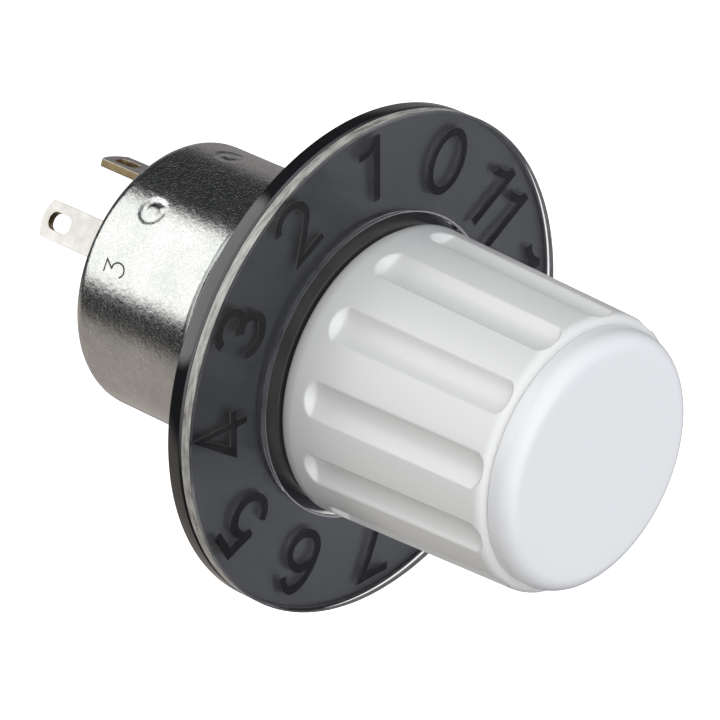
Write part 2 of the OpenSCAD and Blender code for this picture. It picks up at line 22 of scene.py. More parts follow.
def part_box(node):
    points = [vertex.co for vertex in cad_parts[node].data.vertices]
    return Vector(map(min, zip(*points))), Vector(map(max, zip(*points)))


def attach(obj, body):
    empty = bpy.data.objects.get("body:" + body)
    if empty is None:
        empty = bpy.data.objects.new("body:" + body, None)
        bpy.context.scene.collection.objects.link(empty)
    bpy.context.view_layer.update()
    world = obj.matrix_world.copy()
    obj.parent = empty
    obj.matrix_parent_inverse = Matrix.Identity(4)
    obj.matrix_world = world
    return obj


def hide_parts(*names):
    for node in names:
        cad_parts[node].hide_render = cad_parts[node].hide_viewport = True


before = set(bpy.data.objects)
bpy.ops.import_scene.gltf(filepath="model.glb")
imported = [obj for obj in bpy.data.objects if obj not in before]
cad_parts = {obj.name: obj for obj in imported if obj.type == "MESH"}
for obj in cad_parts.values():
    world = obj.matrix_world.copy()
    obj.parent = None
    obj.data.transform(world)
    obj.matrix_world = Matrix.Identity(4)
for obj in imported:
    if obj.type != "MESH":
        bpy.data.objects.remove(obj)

MM = 0.001
FULL_TURN = 2 * math.pi
DOUBLES = 1e-8
LOG = logging.getLogger("potentiometer")

Point = tuple[float, float]
Corner = tuple[float, float, float]
Colour = tuple[float, float, float]
Finishes = dict[str, bpy.types.Material]
Socket = bpy.types.NodeSocket
Value = float | tuple | Socket
LongestStep = Callable[[Point, Point], float]
Shape = Callable[[np.ndarray, np.ndarray, np.ndarray], np.ndarray]


class Body(Enum):
    """The two bodies of the part that move against each other."""

    HOUSING = "housing"
    SPINDLE = "spindle"


def extent(node: str) -> tuple[float, float, float]:
    """Measures a round node of the frame.

    Args:
        node: Name of the node.

    Returns:
        Its rear station, its front station and its outer radius.
    """
    low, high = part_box(node)
    return -high.y / MM, -low.y / MM, (high.x - low.x) / 2 / MM


def place(radius: np.ndarray, clock: np.ndarray, station: np.ndarray) -> np.ndarray:
    """Finds points of the frame.

    Args:
        radius: Distances from the shaft's axis.
        clock: Clock angles in radians.
        station: Stations along the shaft.

    Returns:
        One row of x, y and z for each point.
    """
    radius, clock, station = np.broadcast_arrays(radius, clock, station)
    points = [radius * np.sin(clock), -station, radius * np.cos(clock)]
    return np.stack(points, -1).reshape(-1, 3)


def eased(value: np.ndarray) -> np.ndarray:
    """Holds values between 0 and 1 and rounds the way there off at both ends."""
    value = np.clip(value, 0, 1)
    return value * value * (3 - 2 * value)


def rounded(corners: Sequence[Corner], steps: int = 8) -> np.ndarray:
    """Rounds the corners of a closed section.

    Args:
        corners: Station, radius and corner radius of each corner, in order.
        steps: Chords in each rounded corner.

    Returns:
        The section's points, a row of station and radius for each.
    """
    flat = np.array([corner[:2] for corner in corners], float)
    points = []
    for i, (_, _, size) in enumerate(corners):
        here = flat[i]
        if size == 0:
            points.append(here)
            continue
        back = flat[i - 1] - here
        ahead = flat[(i + 1) % len(flat)] - here
        back /= np.linalg.norm(back)
        ahead /= np.linalg.norm(ahead)
        half = math.acos(float(np.clip(back @ ahead, -1, 1))) / 2
        middle = (back + ahead) / np.linalg.norm(back + ahead)
        centre = here + middle * size / math.sin(half)
        first = here + back * size / math.tan(half) - centre
        last = here + ahead * size / math.tan(half) - centre
        sweep = math.pi - 2 * half
        for t in np.linspace(0, 1, steps + 1):
            mixed = math.sin((1 - t) * sweep) * first + math.sin(t * sweep) * last
            points.append(centre + mixed / math.sin(sweep))
    return np.array(points)


def refined(section: np.ndarray, longest: LongestStep) -> np.ndarray:
    """Splits a closed section's long stretches.

    Args:
        section: Points of the section.
        longest: Gives the longest step allowed between two points.

    Returns:
        The section with the added points.
    """
    points = []
    for here, ahead in zip(section, np.roll(section, -1, 0)):
        length = float(np.linalg.norm(ahead - here))
        count = max(1, math.ceil(length / longest(tuple(here), tuple(ahead)) - 1e-6))
        for step in range(count):
            points.append(here + (ahead - here) * step / count)
    return np.array(points)


def linked(name: str, data: bpy.types.ID) -> bpy.types.Object:
    """Makes an object and puts it into the scene.

    Args:
        name: Name of the object.
        data: Its mesh or camera.

    Returns:
        The object.
    """
    made = bpy.data.objects.new(name, data)
    bpy.context.scene.collection.objects.link(made)
    return made


@contextmanager
def opened(mesh: bpy.types.Mesh) -> Iterator[bmesh.types.BMesh]:
    """Opens a mesh for editing and writes it back.

    Args:
        mesh: The mesh.

    Yields:
        Its editable form.
    """
    work = bmesh.new()
    work.from_mesh(mesh)
    yield work
    work.to_mesh(mesh)
    work.free()


def mesh_object(name: str, points: np.ndarray, faces: Sequence[Sequence[int]],
                crease: float = 30) -> bpy.types.Object:
    """Makes a smooth shaded object from points in millimetres.

    Args:
        name: Name of the object.
        points: Its vertices, one row each.
        faces: Its faces as rows of vertex numbers.
        crease: Angle in degrees from which an edge stays sharp.

    Returns:
        The new object, linked to the scene, with its normals outwards.
    """
    mesh = bpy.data.meshes.new(name)
    mesh.from_pydata((np.asarray(points) * MM).tolist(), [], [list(f) for f in faces])
    made = linked(name, mesh)
    smoothed(made, crease)
    return made


def smoothed(made: bpy.types.Object, crease: float) -> None:
    """Merges doubles, turns the normals outwards and shades smooth.

    Args:
        made: The object.
        crease: Angle in degrees from which an edge stays sharp.
    """
    with opened(made.data) as work:
        bmesh.ops.remove_doubles(work, verts=work.verts, dist=DOUBLES)
        bmesh.ops.recalc_face_normals(work, faces=work.faces)
    made.data.shade_smooth()
    made.data.set_sharp_from_angle(angle=math.radians(crease))


def applied(made: bpy.types.Object) -> None:
    """Replaces an object's mesh with what its modifiers make of it, and removes them.

    Args:
        made: The object.
    """
    graph = bpy.context.evaluated_depsgraph_get()
    mesh = bpy.data.meshes.new_from_object(made.evaluated_get(graph), depsgraph=graph)
    made.modifiers.clear()
    old = made.data
    made.data = mesh
    bpy.data.meshes.remove(old)
    mesh.name = made.name


def grid_faces(rows: int, columns: int, ring: bool) -> np.ndarray:
    """Quads between the rows of a closed section that is swept over some columns.

    Args:
        rows: Points in the section, which closes on itself.
        columns: Copies of the section.
        ring: True where the last copy meets the first again.

    Returns:
        One row of four vertex numbers for each quad.
    """
    row = np.arange(rows)[:, None]
    column = np.arange(columns if ring else columns - 1)[None, :]
    row_next = (row + 1) % rows
    column_next = (column + 1) % columns
    quads = [row * columns + column, row_next * columns + column,
             row_next * columns + column_next, row * columns + column_next]
    return np.stack(np.broadcast_arrays(*quads), -1).reshape(-1, 4)


def turned(name: str, section: np.ndarray, segments: int, crease: float,
           shape: Shape | None = None) -> bpy.types.Object:
    """Turns a closed section round the shaft's axis.

    Args:
        name: Name of the piece.
        section: Points of station and radius.
        segments: Copies of the section in a full turn.
        crease: Angle from which an edge stays sharp.
        shape: Gives the radii anew from stations, radii and clock angles in radians.

    Returns:
        The turned piece.
    """
    clock = np.linspace(0, FULL_TURN, segments, endpoint=False)[None, :]
    station, radius = section[:, :1], section[:, 1:]
    if shape is not None:
        radius = shape(station, radius, clock)
    points = place(radius, clock, station)
    return mesh_object(name, points, grid_faces(len(section), segments, True), crease)


def from_axis(face: bpy.types.MeshPolygon) -> float:
    """The distance of a face's middle from the shaft's axis, in millimetres."""
    return math.hypot(face.center.x, face.center.z) / MM


def faced(made: bpy.types.Object, finishes: Finishes, names: Sequence[str],
          pick: Callable[[bpy.types.MeshPolygon], str]) -> None:
    """Gives each face of a piece one of several finishes.

    Args:
        made: The piece.
        finishes: Every finish, by name.
        names: The piece's finishes, in the order of its slots.
        pick: Chooses the name for a face.
    """
    for name in names:
        made.data.materials.append(finishes[name])
    for face in made.data.polygons:
        face.material_index = names.index(pick(face))


def dressed(made: bpy.types.Object, body: Body, slot: str, *nodes: str) -> bpy.types.Object:
    """Seats a finished piece on its body and reports it.

    Args:
        made: The piece.
        body: The body that it moves with.
        slot: Not used.
        nodes: The nodes of the frame that it stands for.

    Returns:
        The piece.
    """
    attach(made, body.value)
    if nodes:
        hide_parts(*nodes)
    LOG.info("%s: %d faces on %s", made.name, len(made.data.polygons), body.value)
    return made


class NodeSheet:
    """A node tree with short calls for the nodes that the looks use."""

    def __init__(self, tree: bpy.types.NodeTree) -> None:
        """Takes a tree over and empties it."""
        self.tree = tree
        self.tree.nodes.clear()

    def add(self, kind: str, operation: str = "") -> bpy.types.Node:
        """Adds a shader node.

        Args:
            kind: Its type, without the words that all types begin with.
            operation: What it works out, where it is a maths node.

        Returns:
            The node.
        """
        node = self.tree.nodes.new(f"ShaderNode{kind}")
        if operation:
            node.operation = operation
        return node

    def link(self, source: Socket, target: Socket) -> None:
        """Joins two sockets."""
        self.tree.links.new(source, target)

    def feed(self, socket: Socket, value: Value) -> None:
        """Puts something into a socket.

        Args:
            socket: The socket.
            value: A plain value, or another node's output.
        """
        if isinstance(value, Socket):
            self.link(value, socket)
        else:
            socket.default_value = value

    def maths(self, operation: str, first: Value, second: Value) -> Socket:
        """Adds a maths node for two numbers.

        Args:
            operation: What it works out.
            first: The first number.
            second: The second number.

        Returns:
            The result.
        """
        node = self.add("Math", operation)
        self.feed(node.inputs[0], first)
        self.feed(node.inputs[1], second)
        return node.outputs[0]

    def vector(self, operation: str, first: Value, second: Value) -> Socket:
        """Adds a maths node for a vector.

        Args:
            operation: What it works out.
            first: The vector.
            second: The other vector, or the number that scales the first.

        Returns:
            The result, a vector or a number.
        """
        node = self.add("VectorMath", operation)
        self.feed(node.inputs[0], first)
        self.feed(node.inputs["Scale" if operation == "SCALE" else 1], second)
        return node.outputs["Value" if operation == "DOT_PRODUCT" else "Vector"]

    def spread(self, value: Socket, low: float, high: float, to_low: float, to_high: float,
               curve: str = "LINEAR") -> Socket:
        """Maps a range of values onto another, without going past its ends.

        Args:
            value: The value.
            low: Start of its range.
            high: End of its range.
            to_low: What the start becomes.
            to_high: What the end becomes.
            curve: The way between them.

        Returns:
            The mapped value.
        """
        node = self.add("MapRange")
        node.interpolation_type = curve
        for i, number in enumerate((low, high, to_low, to_high), 1):
            node.inputs[i].default_value = number
        self.link(value, node.inputs[0])
        return node.outputs[0]

    def blend(self, share: Value, first: Value, second: Value, how: str = "MIX") -> Socket:
        """Mixes two colours.

        Args:
            share: Share of the second colour.
            first: The first colour.
            second: The second colour.
            how: The way of mixing.

        Returns:
            The mixed colour.
        """
        node = self.add("Mix")
        node.data_type = "RGBA"
        node.blend_type = how
        self.feed(node.inputs[0], share)
        for socket, value in ((node.inputs[6], first), (node.inputs[7], second)):
            self.feed(socket, (*value, 1) if isinstance(value, tuple) else value)
        return node.outputs[2]


class Recipe(NodeSheet):
    """A material with one Principled shader and what feeds it."""

    def __init__(self, name: str) -> None:
        """Starts the material.

        Args:
            name: Its name.
        """
        self.material = bpy.data.materials.new(name)
        self.material.use_nodes = True
        super().__init__(self.material.node_tree)
        self.output = self.add("OutputMaterial")
        self.shader = self.add("BsdfPrincipled")
        self.link(self.shader.outputs[0], self.output.inputs["Surface"])
        self.where = self.add("TexCoord").outputs["Object"]

    def set(self, **values: float | tuple) -> None:
        """Sets plain values on the Principled shader, with _ for each space in a name."""
        for name, value in values.items():
            self.shader.inputs[name.replace("_", " ")].default_value = value

    def paint(self, name: str, source: Socket) -> None:
        """Joins a node's output to one of the Principled shader's inputs."""
        self.link(source, self.shader.inputs[name])

    def in_mm(self) -> Socket:
        """Adds the node that gives Object coordinates in millimetres.

        Returns:
            The coordinates.
        """
        node = self.add("Mapping")
        node.inputs["Scale"].default_value = (1 / MM, 1 / MM, 1 / MM)
        self.link(self.where, node.inputs["Vector"])
        return node.outputs[0]

    def wrapped(self, round_scale: float, along_scale: float) -> Socket:
        """Adds coordinates that run round the shaft's axis and along it.

        Args:
            round_scale: Scale of the angle round the axis, in radians.
            along_scale: Scale of the way along it, in millimetres.

        Returns:
            The coordinates.
        """
        parts = self.add("SeparateXYZ")
        self.link(self.where, parts.inputs[0])
        angle = self.maths("ARCTAN2", parts.outputs[0], parts.outputs[2])
        joined = self.add("CombineXYZ")
        self.link(self.maths("MULTIPLY", angle, round_scale), joined.inputs[0])
        self.link(self.maths("MULTIPLY", parts.outputs[1], along_scale / MM), joined.inputs[1])
        return joined.outputs[0]

    def noise(self, scale: float, detail: float, rough: float,
              where: Socket | None = None) -> Socket:
        """Adds noise.

        Args:
            scale: Features in a millimetre.
            detail: Finer layers in it.
            rough: Strength of the finer layers.
            where: Coordinates other than plain millimetres.

        Returns:
            The noise.
        """
        node = self.add("TexNoise")
        node.inputs["Scale"].default_value = scale
        node.inputs["Detail"].default_value = detail
        node.inputs["Roughness"].default_value = rough
        self.link(where or self.in_mm(), node.inputs["Vector"])
        return node.outputs[0]

    def cells(self, scale: float) -> Socket:
        """Adds cells, each with a random value.

        Args:
            scale: Cells in a millimetre.

        Returns:
            The cells' values.
        """
        node = self.add("TexVoronoi")
        node.inputs["Scale"].default_value = scale
        self.link(self.in_mm(), node.inputs["Vector"])
        return node.outputs["Color"]

    def clouded(self, cloud: Socket, first: Colour, second: Colour) -> Socket:
        """Mixes two colours by the clouds of a soft noise."""
        return self.blend(self.spread(cloud, 0.35, 0.65, 0, 1), first, second)

    def relief(self, height: Socket, depth: float) -> None:
        """Adds bump on top of what is there.

        Args:
            height: The bump's height, from 0 to 1.
            depth: What 1 is in millimetres.
        """
        node = self.add("Bump")
        node.inputs["Strength"].default_value = 1
        node.inputs["Distance"].default_value = depth * MM
        self.link(height, node.inputs["Height"])
        normal = self.shader.inputs["Normal"]
        if normal.is_linked:
            self.link(normal.links[0].from_socket, node.inputs["Normal"])
        self.link(node.outputs[0], normal)

    def choose(self, share: Socket, first: Socket, second: Socket) -> None:
        """Sends one of two shaders, or a mix of both, to the surface.

        Args:
            share: Share of the second shader.
            first: The first shader.
            second: The second shader.
        """
        node = self.add("MixShader")
        for socket, source in zip(node.inputs, (share, first, second)):
            self.link(source, socket)
        self.link(node.outputs[0], self.output.inputs["Surface"])


@dataclass(frozen=True)
class ZincPlate:
    """Bright zinc on drawn steel: crystal flecks, drawing marks and a cloudy tint."""

    name: str = "zinc_plate"
    bright: Colour = (0.66, 0.66, 0.645)
    tint: Colour = (0.56, 0.575, 0.55)
    fleck: float = 3.6
    fleck_shade: float = 0.90
    smooth: float = 0.10
    rough: float = 0.22
    mark_depth: float = 0.010
    grain_depth: float = 0.030
    fleck_depth: float = 0.034

    def material(self) -> bpy.types.Material:
        """Makes the material.

        Returns:
            The material.
        """
        mix = Recipe(self.name)
        flecks = mix.cells(self.fleck)
        grain = mix.noise(1.7, 5, 0.65)
        colour = mix.clouded(mix.noise(0.16, 4, 0.6), self.bright, self.tint)
        shade = mix.spread(flecks, 0, 1, self.fleck_shade, 1)
        mix.paint("Base Color", mix.blend(1.0, colour, shade, "MULTIPLY"))
        mix.set(Metallic=1.0)
        mix.paint("Roughness", mix.spread(grain, 0.35, 0.7, self.smooth, self.rough))
        mix.relief(mix.noise(1.0, 3, 0.6, mix.wrapped(9.0, 0.35)), self.mark_depth)
        mix.relief(grain, self.grain_depth)
        mix.relief(flecks, self.fleck_depth)
        return mix.material


@dataclass(frozen=True)
class Metal:
    """A plain or plated metal with fine marks of its own."""

    name: str
    colour: Colour
    second: Colour
    rough: float
    marks: float = 0.006
    turned: bool = False

    def material(self) -> bpy.types.Material:
        """Makes the material.

        Returns:
            The material.
        """
        mix = Recipe(self.name)
        cloud = mix.noise(0.5, 3, 0.6)
        mix.paint("Base Color", mix.clouded(cloud, self.colour, self.second))
        mix.set(Metallic=1.0, Roughness=self.rough)
        if self.marks:
            fine = mix.noise(5.0, 3, 0.6)
            mix.paint("Roughness",
                      mix.spread(fine, 0.3, 0.7, self.rough * 0.8, self.rough * 1.25))
            where = mix.wrapped(0.6, 14.0) if self.turned else None
            mix.relief(mix.noise(1.0 if self.turned else 6.0, 3, 0.6, where), self.marks)
        return mix.material


@dataclass(frozen=True)
class Plastic:
    """A moulded plastic, glossy or satin, with faint flow and fine texture."""

    name: str
    colour: Colour
    second: Colour
    rough: float
    texture: float = 0.004
    grain: float = 4.0
    specular: float = 0.5

    def material(self) -> bpy.types.Material:
        """Makes the material.

        Returns:
            The material.
        """
        mix = Recipe(self.name)
        cloud = mix.noise(0.12, 3, 0.55)
        mix.paint("Base Color", mix.clouded(cloud, self.colour, self.second))
        mix.set(Roughness=self.rough, Specular_IOR_Level=self.specular)
        if self.texture:
            fine = mix.noise(self.grain, 3, 0.6)
            mix.paint("Roughness",
                      mix.spread(fine, 0.3, 0.7, self.rough * 0.85, self.rough * 1.2))
            mix.relief(fine, self.texture)
        return mix.material


@dataclass(frozen=True)
class ClearAcrylic:
    """Clear sheet that bends what is seen through it and lets the lamps' light through.

    Where it is frosted, as on a sawn edge, streaks along the shaft make it rough and less clear;
    with a pale colour this frosting also paints highlights and reflections.
    """

    name: str = "clear_acrylic"
    colour: Colour = (0.95, 0.955, 0.965)
    bend: float = 1.49
    polished: float = 0.03
    sawn: float = 0.0
    clear_share: float = 1.0

    def material(self) -> bpy.types.Material:
        """Makes the material.

        Returns:
            The material.
        """
        mix = Recipe(self.name)
        mix.set(Base_Color=(*self.colour, 1), Transmission_Weight=self.clear_share,
                IOR=self.bend, Roughness=self.polished)
        # Less clear streaks let the pale colour show: a painted highlight and reflection on the
        # edges that use this.
        if self.sawn:
            streaks = mix.noise(1.0, 4, 0.7, mix.wrapped(8.0, 1.6))
            mix.paint("Roughness",
                      mix.spread(streaks, 0.35, 0.7, self.sawn * 0.5, self.sawn * 1.6))
            mix.paint("Transmission Weight", mix.spread(streaks, 0.35, 0.62, self.clear_share,
                                                        self.clear_share * 0.35))
        path = mix.add("LightPath")
        unbent = mix.maths("MAXIMUM", path.outputs["Is Shadow Ray"],
                           path.outputs["Is Diffuse Ray"])
        pass_through = mix.add("BsdfTransparent")
        pass_through.inputs[0].default_value = (*self.colour, 1)
        mix.choose(unbent, mix.shader.outputs[0], pass_through.outputs[0])
        return mix.material


@dataclass(frozen=True)
class Lobe:
    """One soft patch of light in the studio round the part.

    The patch is full within the inner angle of its direction and gone past the outer one.
    """

    direction: tuple[float, float, float]
    inner: float
    outer: float
    strength: float
    colour: Colour = (1.0, 1.0, 1.0)

    def light(self, sheet: NodeSheet, ray: Socket) -> Socket:
        """Adds the nodes of the patch.

        Args:
            sheet: The world's nodes.
            ray: Direction of a ray.

        Returns:
            The light that the patch sends along the ray.
        """
        near = sheet.vector("DOT_PRODUCT", ray, Vector(self.direction).normalized())
        fade = sheet.spread(near, math.cos(math.radians(self.outer)),
                            math.cos(math.radians(self.inner)), 0, self.strength, "SMOOTHSTEP")
        return sheet.vector("SCALE", self.colour, fade)


@dataclass
class Studio:
    """Camera, pale floor and the soft light of a product photograph."""

    camera_at: tuple[float, float, float] = (-304.2, -298.4, 228.1)
    forward: tuple[float, float, float] = (0.6378, 0.6031, -0.4791)
    lens: float = 229.5
    sensor: float = 36.0
    clip: Point = (0.01, 20.0)
    floor_at: float = -105.0
    floor_half: float = 3000.0
    floor_shade: float = 0.8
    floor_glow: float = 0.75
    base: Colour = (0.040, 0.042, 0.045)
    lobes: tuple[Lobe, ...] = (
        Lobe((-0.545, 0.670, 0.505), 27, 33, 1.72),
        Lobe((-0.45, -0.707, 0.54), 10, 75, 0.95),
        Lobe((0.638, -0.603, -0.479), 25, 62, 0.06),
        Lobe((-0.2, -1.0, -0.1), 15, 45, 1.08, (0.98, 1.0, 1.03)),
        Lobe((0.1, -0.5, 0.86), 5, 60, 0.38, (0.93, 0.98, 1.08)),
        Lobe((0.9185, -0.3815, -0.1045), 22, 38, 0.45, (0.95, 0.97, 1.10)),
        Lobe((-0.18, 0.603, -0.777), 30, 42, 0.42, (1.0, 0.90, 0.82)),
        Lobe((0.74, 0.603, -0.25), 25, 40, 0.26, (1.0, 0.92, 0.93)),
    )

    def build(self) -> None:
        """Makes the camera, the floor and the light."""
        bpy.context.scene.view_settings.view_transform = "Standard"
        self.place_camera()
        self.lay_floor()
        self.light_world()
        LOG.info("studio with %d lobes", len(self.lobes))

    def place_camera(self) -> None:
        """Puts the camera where the photograph was taken from."""
        data = bpy.data.cameras.new("camera")
        data.lens = self.lens
        data.sensor_width = self.sensor
        data.clip_start, data.clip_end = self.clip
        ahead = Vector(self.forward).normalized()
        right = ahead.cross(Vector((0, 0, 1))).normalized()
        turn = Matrix((right, right.cross(ahead), -ahead)).transposed().to_4x4()
        camera = linked("camera", data)
        camera.matrix_world = Matrix.Translation(Vector(self.camera_at) * MM) @ turn
        bpy.context.scene.camera = camera

    def lay_floor(self) -> None:
        """Lays the pale floor, which is white to the camera but for the part's shadow."""
        half = self.floor_half
        corners = [Vector((x, y, self.floor_at)) * MM
                   for x, y in ((-half, -half), (half, -half), (half, half), (-half, half))]
        mesh = bpy.data.meshes.new("floor")
        mesh.from_pydata(corners, [], [(0, 1, 2, 3)])
        shade = self.floor_shade
        mix = Recipe("pale_floor")
        mix.set(Base_Color=(shade, shade, shade, 1), Roughness=0.9, Specular_IOR_Level=0.0)
        glow = mix.add("Emission")
        glow.inputs["Strength"].default_value = self.floor_glow
        both = mix.add("AddShader")
        mix.link(mix.shader.outputs[0], both.inputs[0])
        mix.link(glow.outputs[0], both.inputs[1])
        unseen = mix.maths("SUBTRACT", 1.0, mix.add("LightPath").outputs["Is Camera Ray"])
        below = mix.add("NewGeometry").outputs["Backfacing"]
        mix.choose(mix.maths("MAXIMUM", below, unseen), both.outputs[0],
                   mix.add("BsdfTransparent").outputs[0])
        mesh.materials.append(mix.material)
        floor = linked("floor", mesh)

    def light_world(self) -> None:
        """Surrounds the part with the soft patches, and shows plain white to the camera."""
        world = bpy.data.worlds.new("studio")
        bpy.context.scene.world = world
        world.use_nodes = True
        sheet = NodeSheet(world.node_tree)
        ray = sheet.add("TexCoord").outputs["Generated"]
        total = self.base
        for lobe in self.lobes:
            total = sheet.vector("ADD", total, lobe.light(sheet, ray))
        path = sheet.add("LightPath")
        seen = sheet.maths("MAXIMUM", path.outputs["Is Camera Ray"],
                           path.outputs["Is Transmission Ray"])
        background = sheet.add("Background")
        sheet.link(sheet.blend(seen, total, (1, 1, 1)), background.inputs["Color"])
        sheet.link(background.outputs[0], sheet.add("OutputWorld").inputs["Surface"])


@dataclass(frozen=True)
class Stroke:
    """One pen stroke of a figure: its middle line, in shares of the figure's height."""

    points: tuple[Point, ...]
    closed: bool = False


def bow(centre: Point, wide: float, high: float, start: float, stop: float,
        steps: int) -> list[Point]:
    """Points of an oval arc, with angles counted anticlockwise from the right."""
    angles = np.radians(np.linspace(start, stop, steps + 1))
    return [(centre[0] + wide * math.cos(a), centre[1] + high * math.sin(a)) for a in angles]


def oval(centre: Point, wide: float, high: float) -> Stroke:
    """A closed stroke round an oval."""
    return Stroke(tuple(bow(centre, wide, high, 0, 360, 48)[:-1]), True)


def line(*points: Point) -> Stroke:
    """An open stroke through some points."""
    return Stroke(points)


@dataclass(frozen=True)
class Numerals:
    """Plain figures drawn with a pen of even width, each as a set of strokes.

    A figure is one unit high and centred on the origin. The pen's half width is inside it.
    """

    pen: float = 0.13
    flat_three: bool = False
    mitre: float = 0.42
    room: float = 0.68
    room_of_one: float = 0.56

    def strokes(self, sign: str) -> tuple[list[Stroke], float]:
        """Draws one sign.

        Args:
            sign: The sign.

        Returns:
            Its strokes and the width that it takes.
        """
        top = (1 - self.pen) / 2
        low = -top
        drawn = {
            "0": [oval((0, 0), 0.318, top)],
            "1": [line((0.07, -0.5), (0.07, 0.5)),
                  line(*bow((-0.28, 0.52), 0.33, 0.26, -90, -10, 10))],
            "2": [line(*bow((0, 0.175), 0.285, top - 0.175, 172, -28, 24),
                       (0.10, -0.12), (-0.215, low), (0.33, low))],
            "3": [line(*bow((-0.015, 0.215), 0.26, top - 0.215, 166, -82, 24), (-0.04, 0.0)),
                  line((-0.04, 0.0),
                       *bow((-0.015, -0.195), 0.292, -0.195 - low, 84, -166, 26))],
            "4": [line((0.13, -0.5), (0.13, 0.43), (-0.30, -0.23), (0.36, -0.23))],
            "5": [line((0.27, top), (-0.17, top), (-0.232, -0.03)),
                  line(*bow((0.0, -0.135), 0.282, -0.135 - low, 154, -155, 30))],
            "6": [oval((0.0, -0.17), 0.29, -0.17 - low),
                  line(*bow((0.02, -0.10), 0.31, top + 0.10, 180, 44, 24))],
            "7": [line((-0.30, top), (0.25, top), (0.10, 0.16), (-0.06, -0.20), (-0.10, -0.5))],
            "8": [oval((0, 0.225), 0.215, 0.199), oval((0, -0.19), 0.262, 0.234)],
        }
        if sign == "3" and self.flat_three:
            return [line((-0.25, top), (0.22, top), (-0.05, 0.13)),
                    line((-0.05, 0.13),
                         *bow((-0.02, -0.16), 0.27, -0.16 - low, 70, -150, 26))], self.room
        if sign == "9":
            return [Stroke(tuple((-x, -y) for x, y in stroke.points), stroke.closed)
                    for stroke in drawn["6"]], self.room
        return drawn[sign], self.room_of_one if sign == "1" else self.room

    def ribbons(self, stroke: Stroke) -> list[list[Point]]:
        """Gives a stroke the pen's width.

        Args:
            stroke: The stroke.

        Returns:
            One four-sided outline for each stretch, mitred together.
        """
        middle = np.array(stroke.points)
        count = len(middle)
        ahead = np.roll(middle, -1, 0) - middle
        if not stroke.closed:
            ahead[-1] = ahead[-2]
        ahead /= np.linalg.norm(ahead, axis=1)[:, None]
        back = np.roll(ahead, 1, 0)
        if not stroke.closed:
            back[0] = ahead[0]
        side = np.stack([-(ahead + back)[:, 1], (ahead + back)[:, 0]], 1)
        side /= np.linalg.norm(side, axis=1)[:, None]
        sharp = np.abs(side[:, 0] * -ahead[:, 1] + side[:, 1] * ahead[:, 0])
        offset = side * (self.pen / 2 / np.maximum(sharp, self.mitre))[:, None]
        left, right = middle + offset, middle - offset
        last = count if stroke.closed else count - 1
        return [[tuple(left[i]), tuple(right[i]), tuple(right[(i + 1) % count]),
                 tuple(left[(i + 1) % count])] for i in range(last)]

    def flat(self, text: str) -> tuple[np.ndarray, list[tuple[int, ...]]]:
        """Fills a number, one unit high and centred, with triangles.

        Args:
            text: The number's signs.

        Returns:
            The points and the triangles.
        """
        shapes = []
        widths = [self.strokes(sign)[1] for sign in text]
        edge = -sum(widths) / 2
        for sign, width in zip(text, widths):
            middle = edge + width / 2 if len(text) > 1 else 0.0
            edge += width
            for stroke in self.strokes(sign)[0]:
                for shape in self.ribbons(stroke):
                    shapes.append([(x + middle, y) for x, y in shape])
        corners = [Vector(point) for shape in shapes for point in shape]
        faces = [list(range(4 * i, 4 * i + 4)) for i in range(len(shapes))]
        made = delaunay_2d_cdt(corners, [], faces, 0, 1e-5)
        inside = [tuple(face) for face, source in zip(made[2], made[5]) if source]
        return np.array([tuple(v) for v in made[0]]), inside


@dataclass(frozen=True)
class NumberBlock:
    """A number as a thin closed solid on a surface."""

    height: float
    thick: float
    bevel: float = 0.0
    sink: float = 0.02
    numerals: Numerals = Numerals()
    crease: float = 35.0

    def make(self, name: str, text: str, seat: Shape) -> bpy.types.Object:
        """Makes the solid.

        Args:
            name: Name of the object.
            text: The number.
            seat: Gives points of the frame from places across, up and above the surface.

        Returns:
            The solid, which reaches below the surface too.
        """
        points, faces = self.numerals.flat(text)
        work = bmesh.new()
        corners = [work.verts.new((x * self.height, y * self.height, 0)) for x, y in points]
        for face in faces:
            work.faces.new([corners[i] for i in face])
        loose = [v for v in work.verts if not v.link_faces]
        bmesh.ops.delete(work, geom=loose, context="VERTS")
        bmesh.ops.dissolve_limit(work, angle_limit=0.01, verts=work.verts, edges=work.edges)
        grown = bmesh.ops.extrude_face_region(work, geom=list(work.faces))["geom"]
        for vert in grown:
            if isinstance(vert, bmesh.types.BMVert):
                vert.co.z = self.thick + self.sink
        bmesh.ops.recalc_face_normals(work, faces=work.faces)
        if self.bevel:
            edges = [e for e in grown if isinstance(e, bmesh.types.BMEdge) and e.is_valid
                     and len(e.link_faces) == 2 and e.calc_face_angle(0) > 1.0]
            bmesh.ops.bevel(work, geom=edges, offset=self.bevel, offset_type="OFFSET",
                            segments=1, affect="EDGES", clamp_overlap=True)
        bmesh.ops.triangulate(work, faces=work.faces)
        places = np.array([tuple(v.co) for v in work.verts])
        work.verts.index_update()
        corners_of = [tuple(v.index for v in face.verts) for face in work.faces]
        work.free()
        moved = seat(places[:, 0], places[:, 1], places[:, 2] - self.sink)
        return mesh_object(name, moved, corners_of, self.crease)


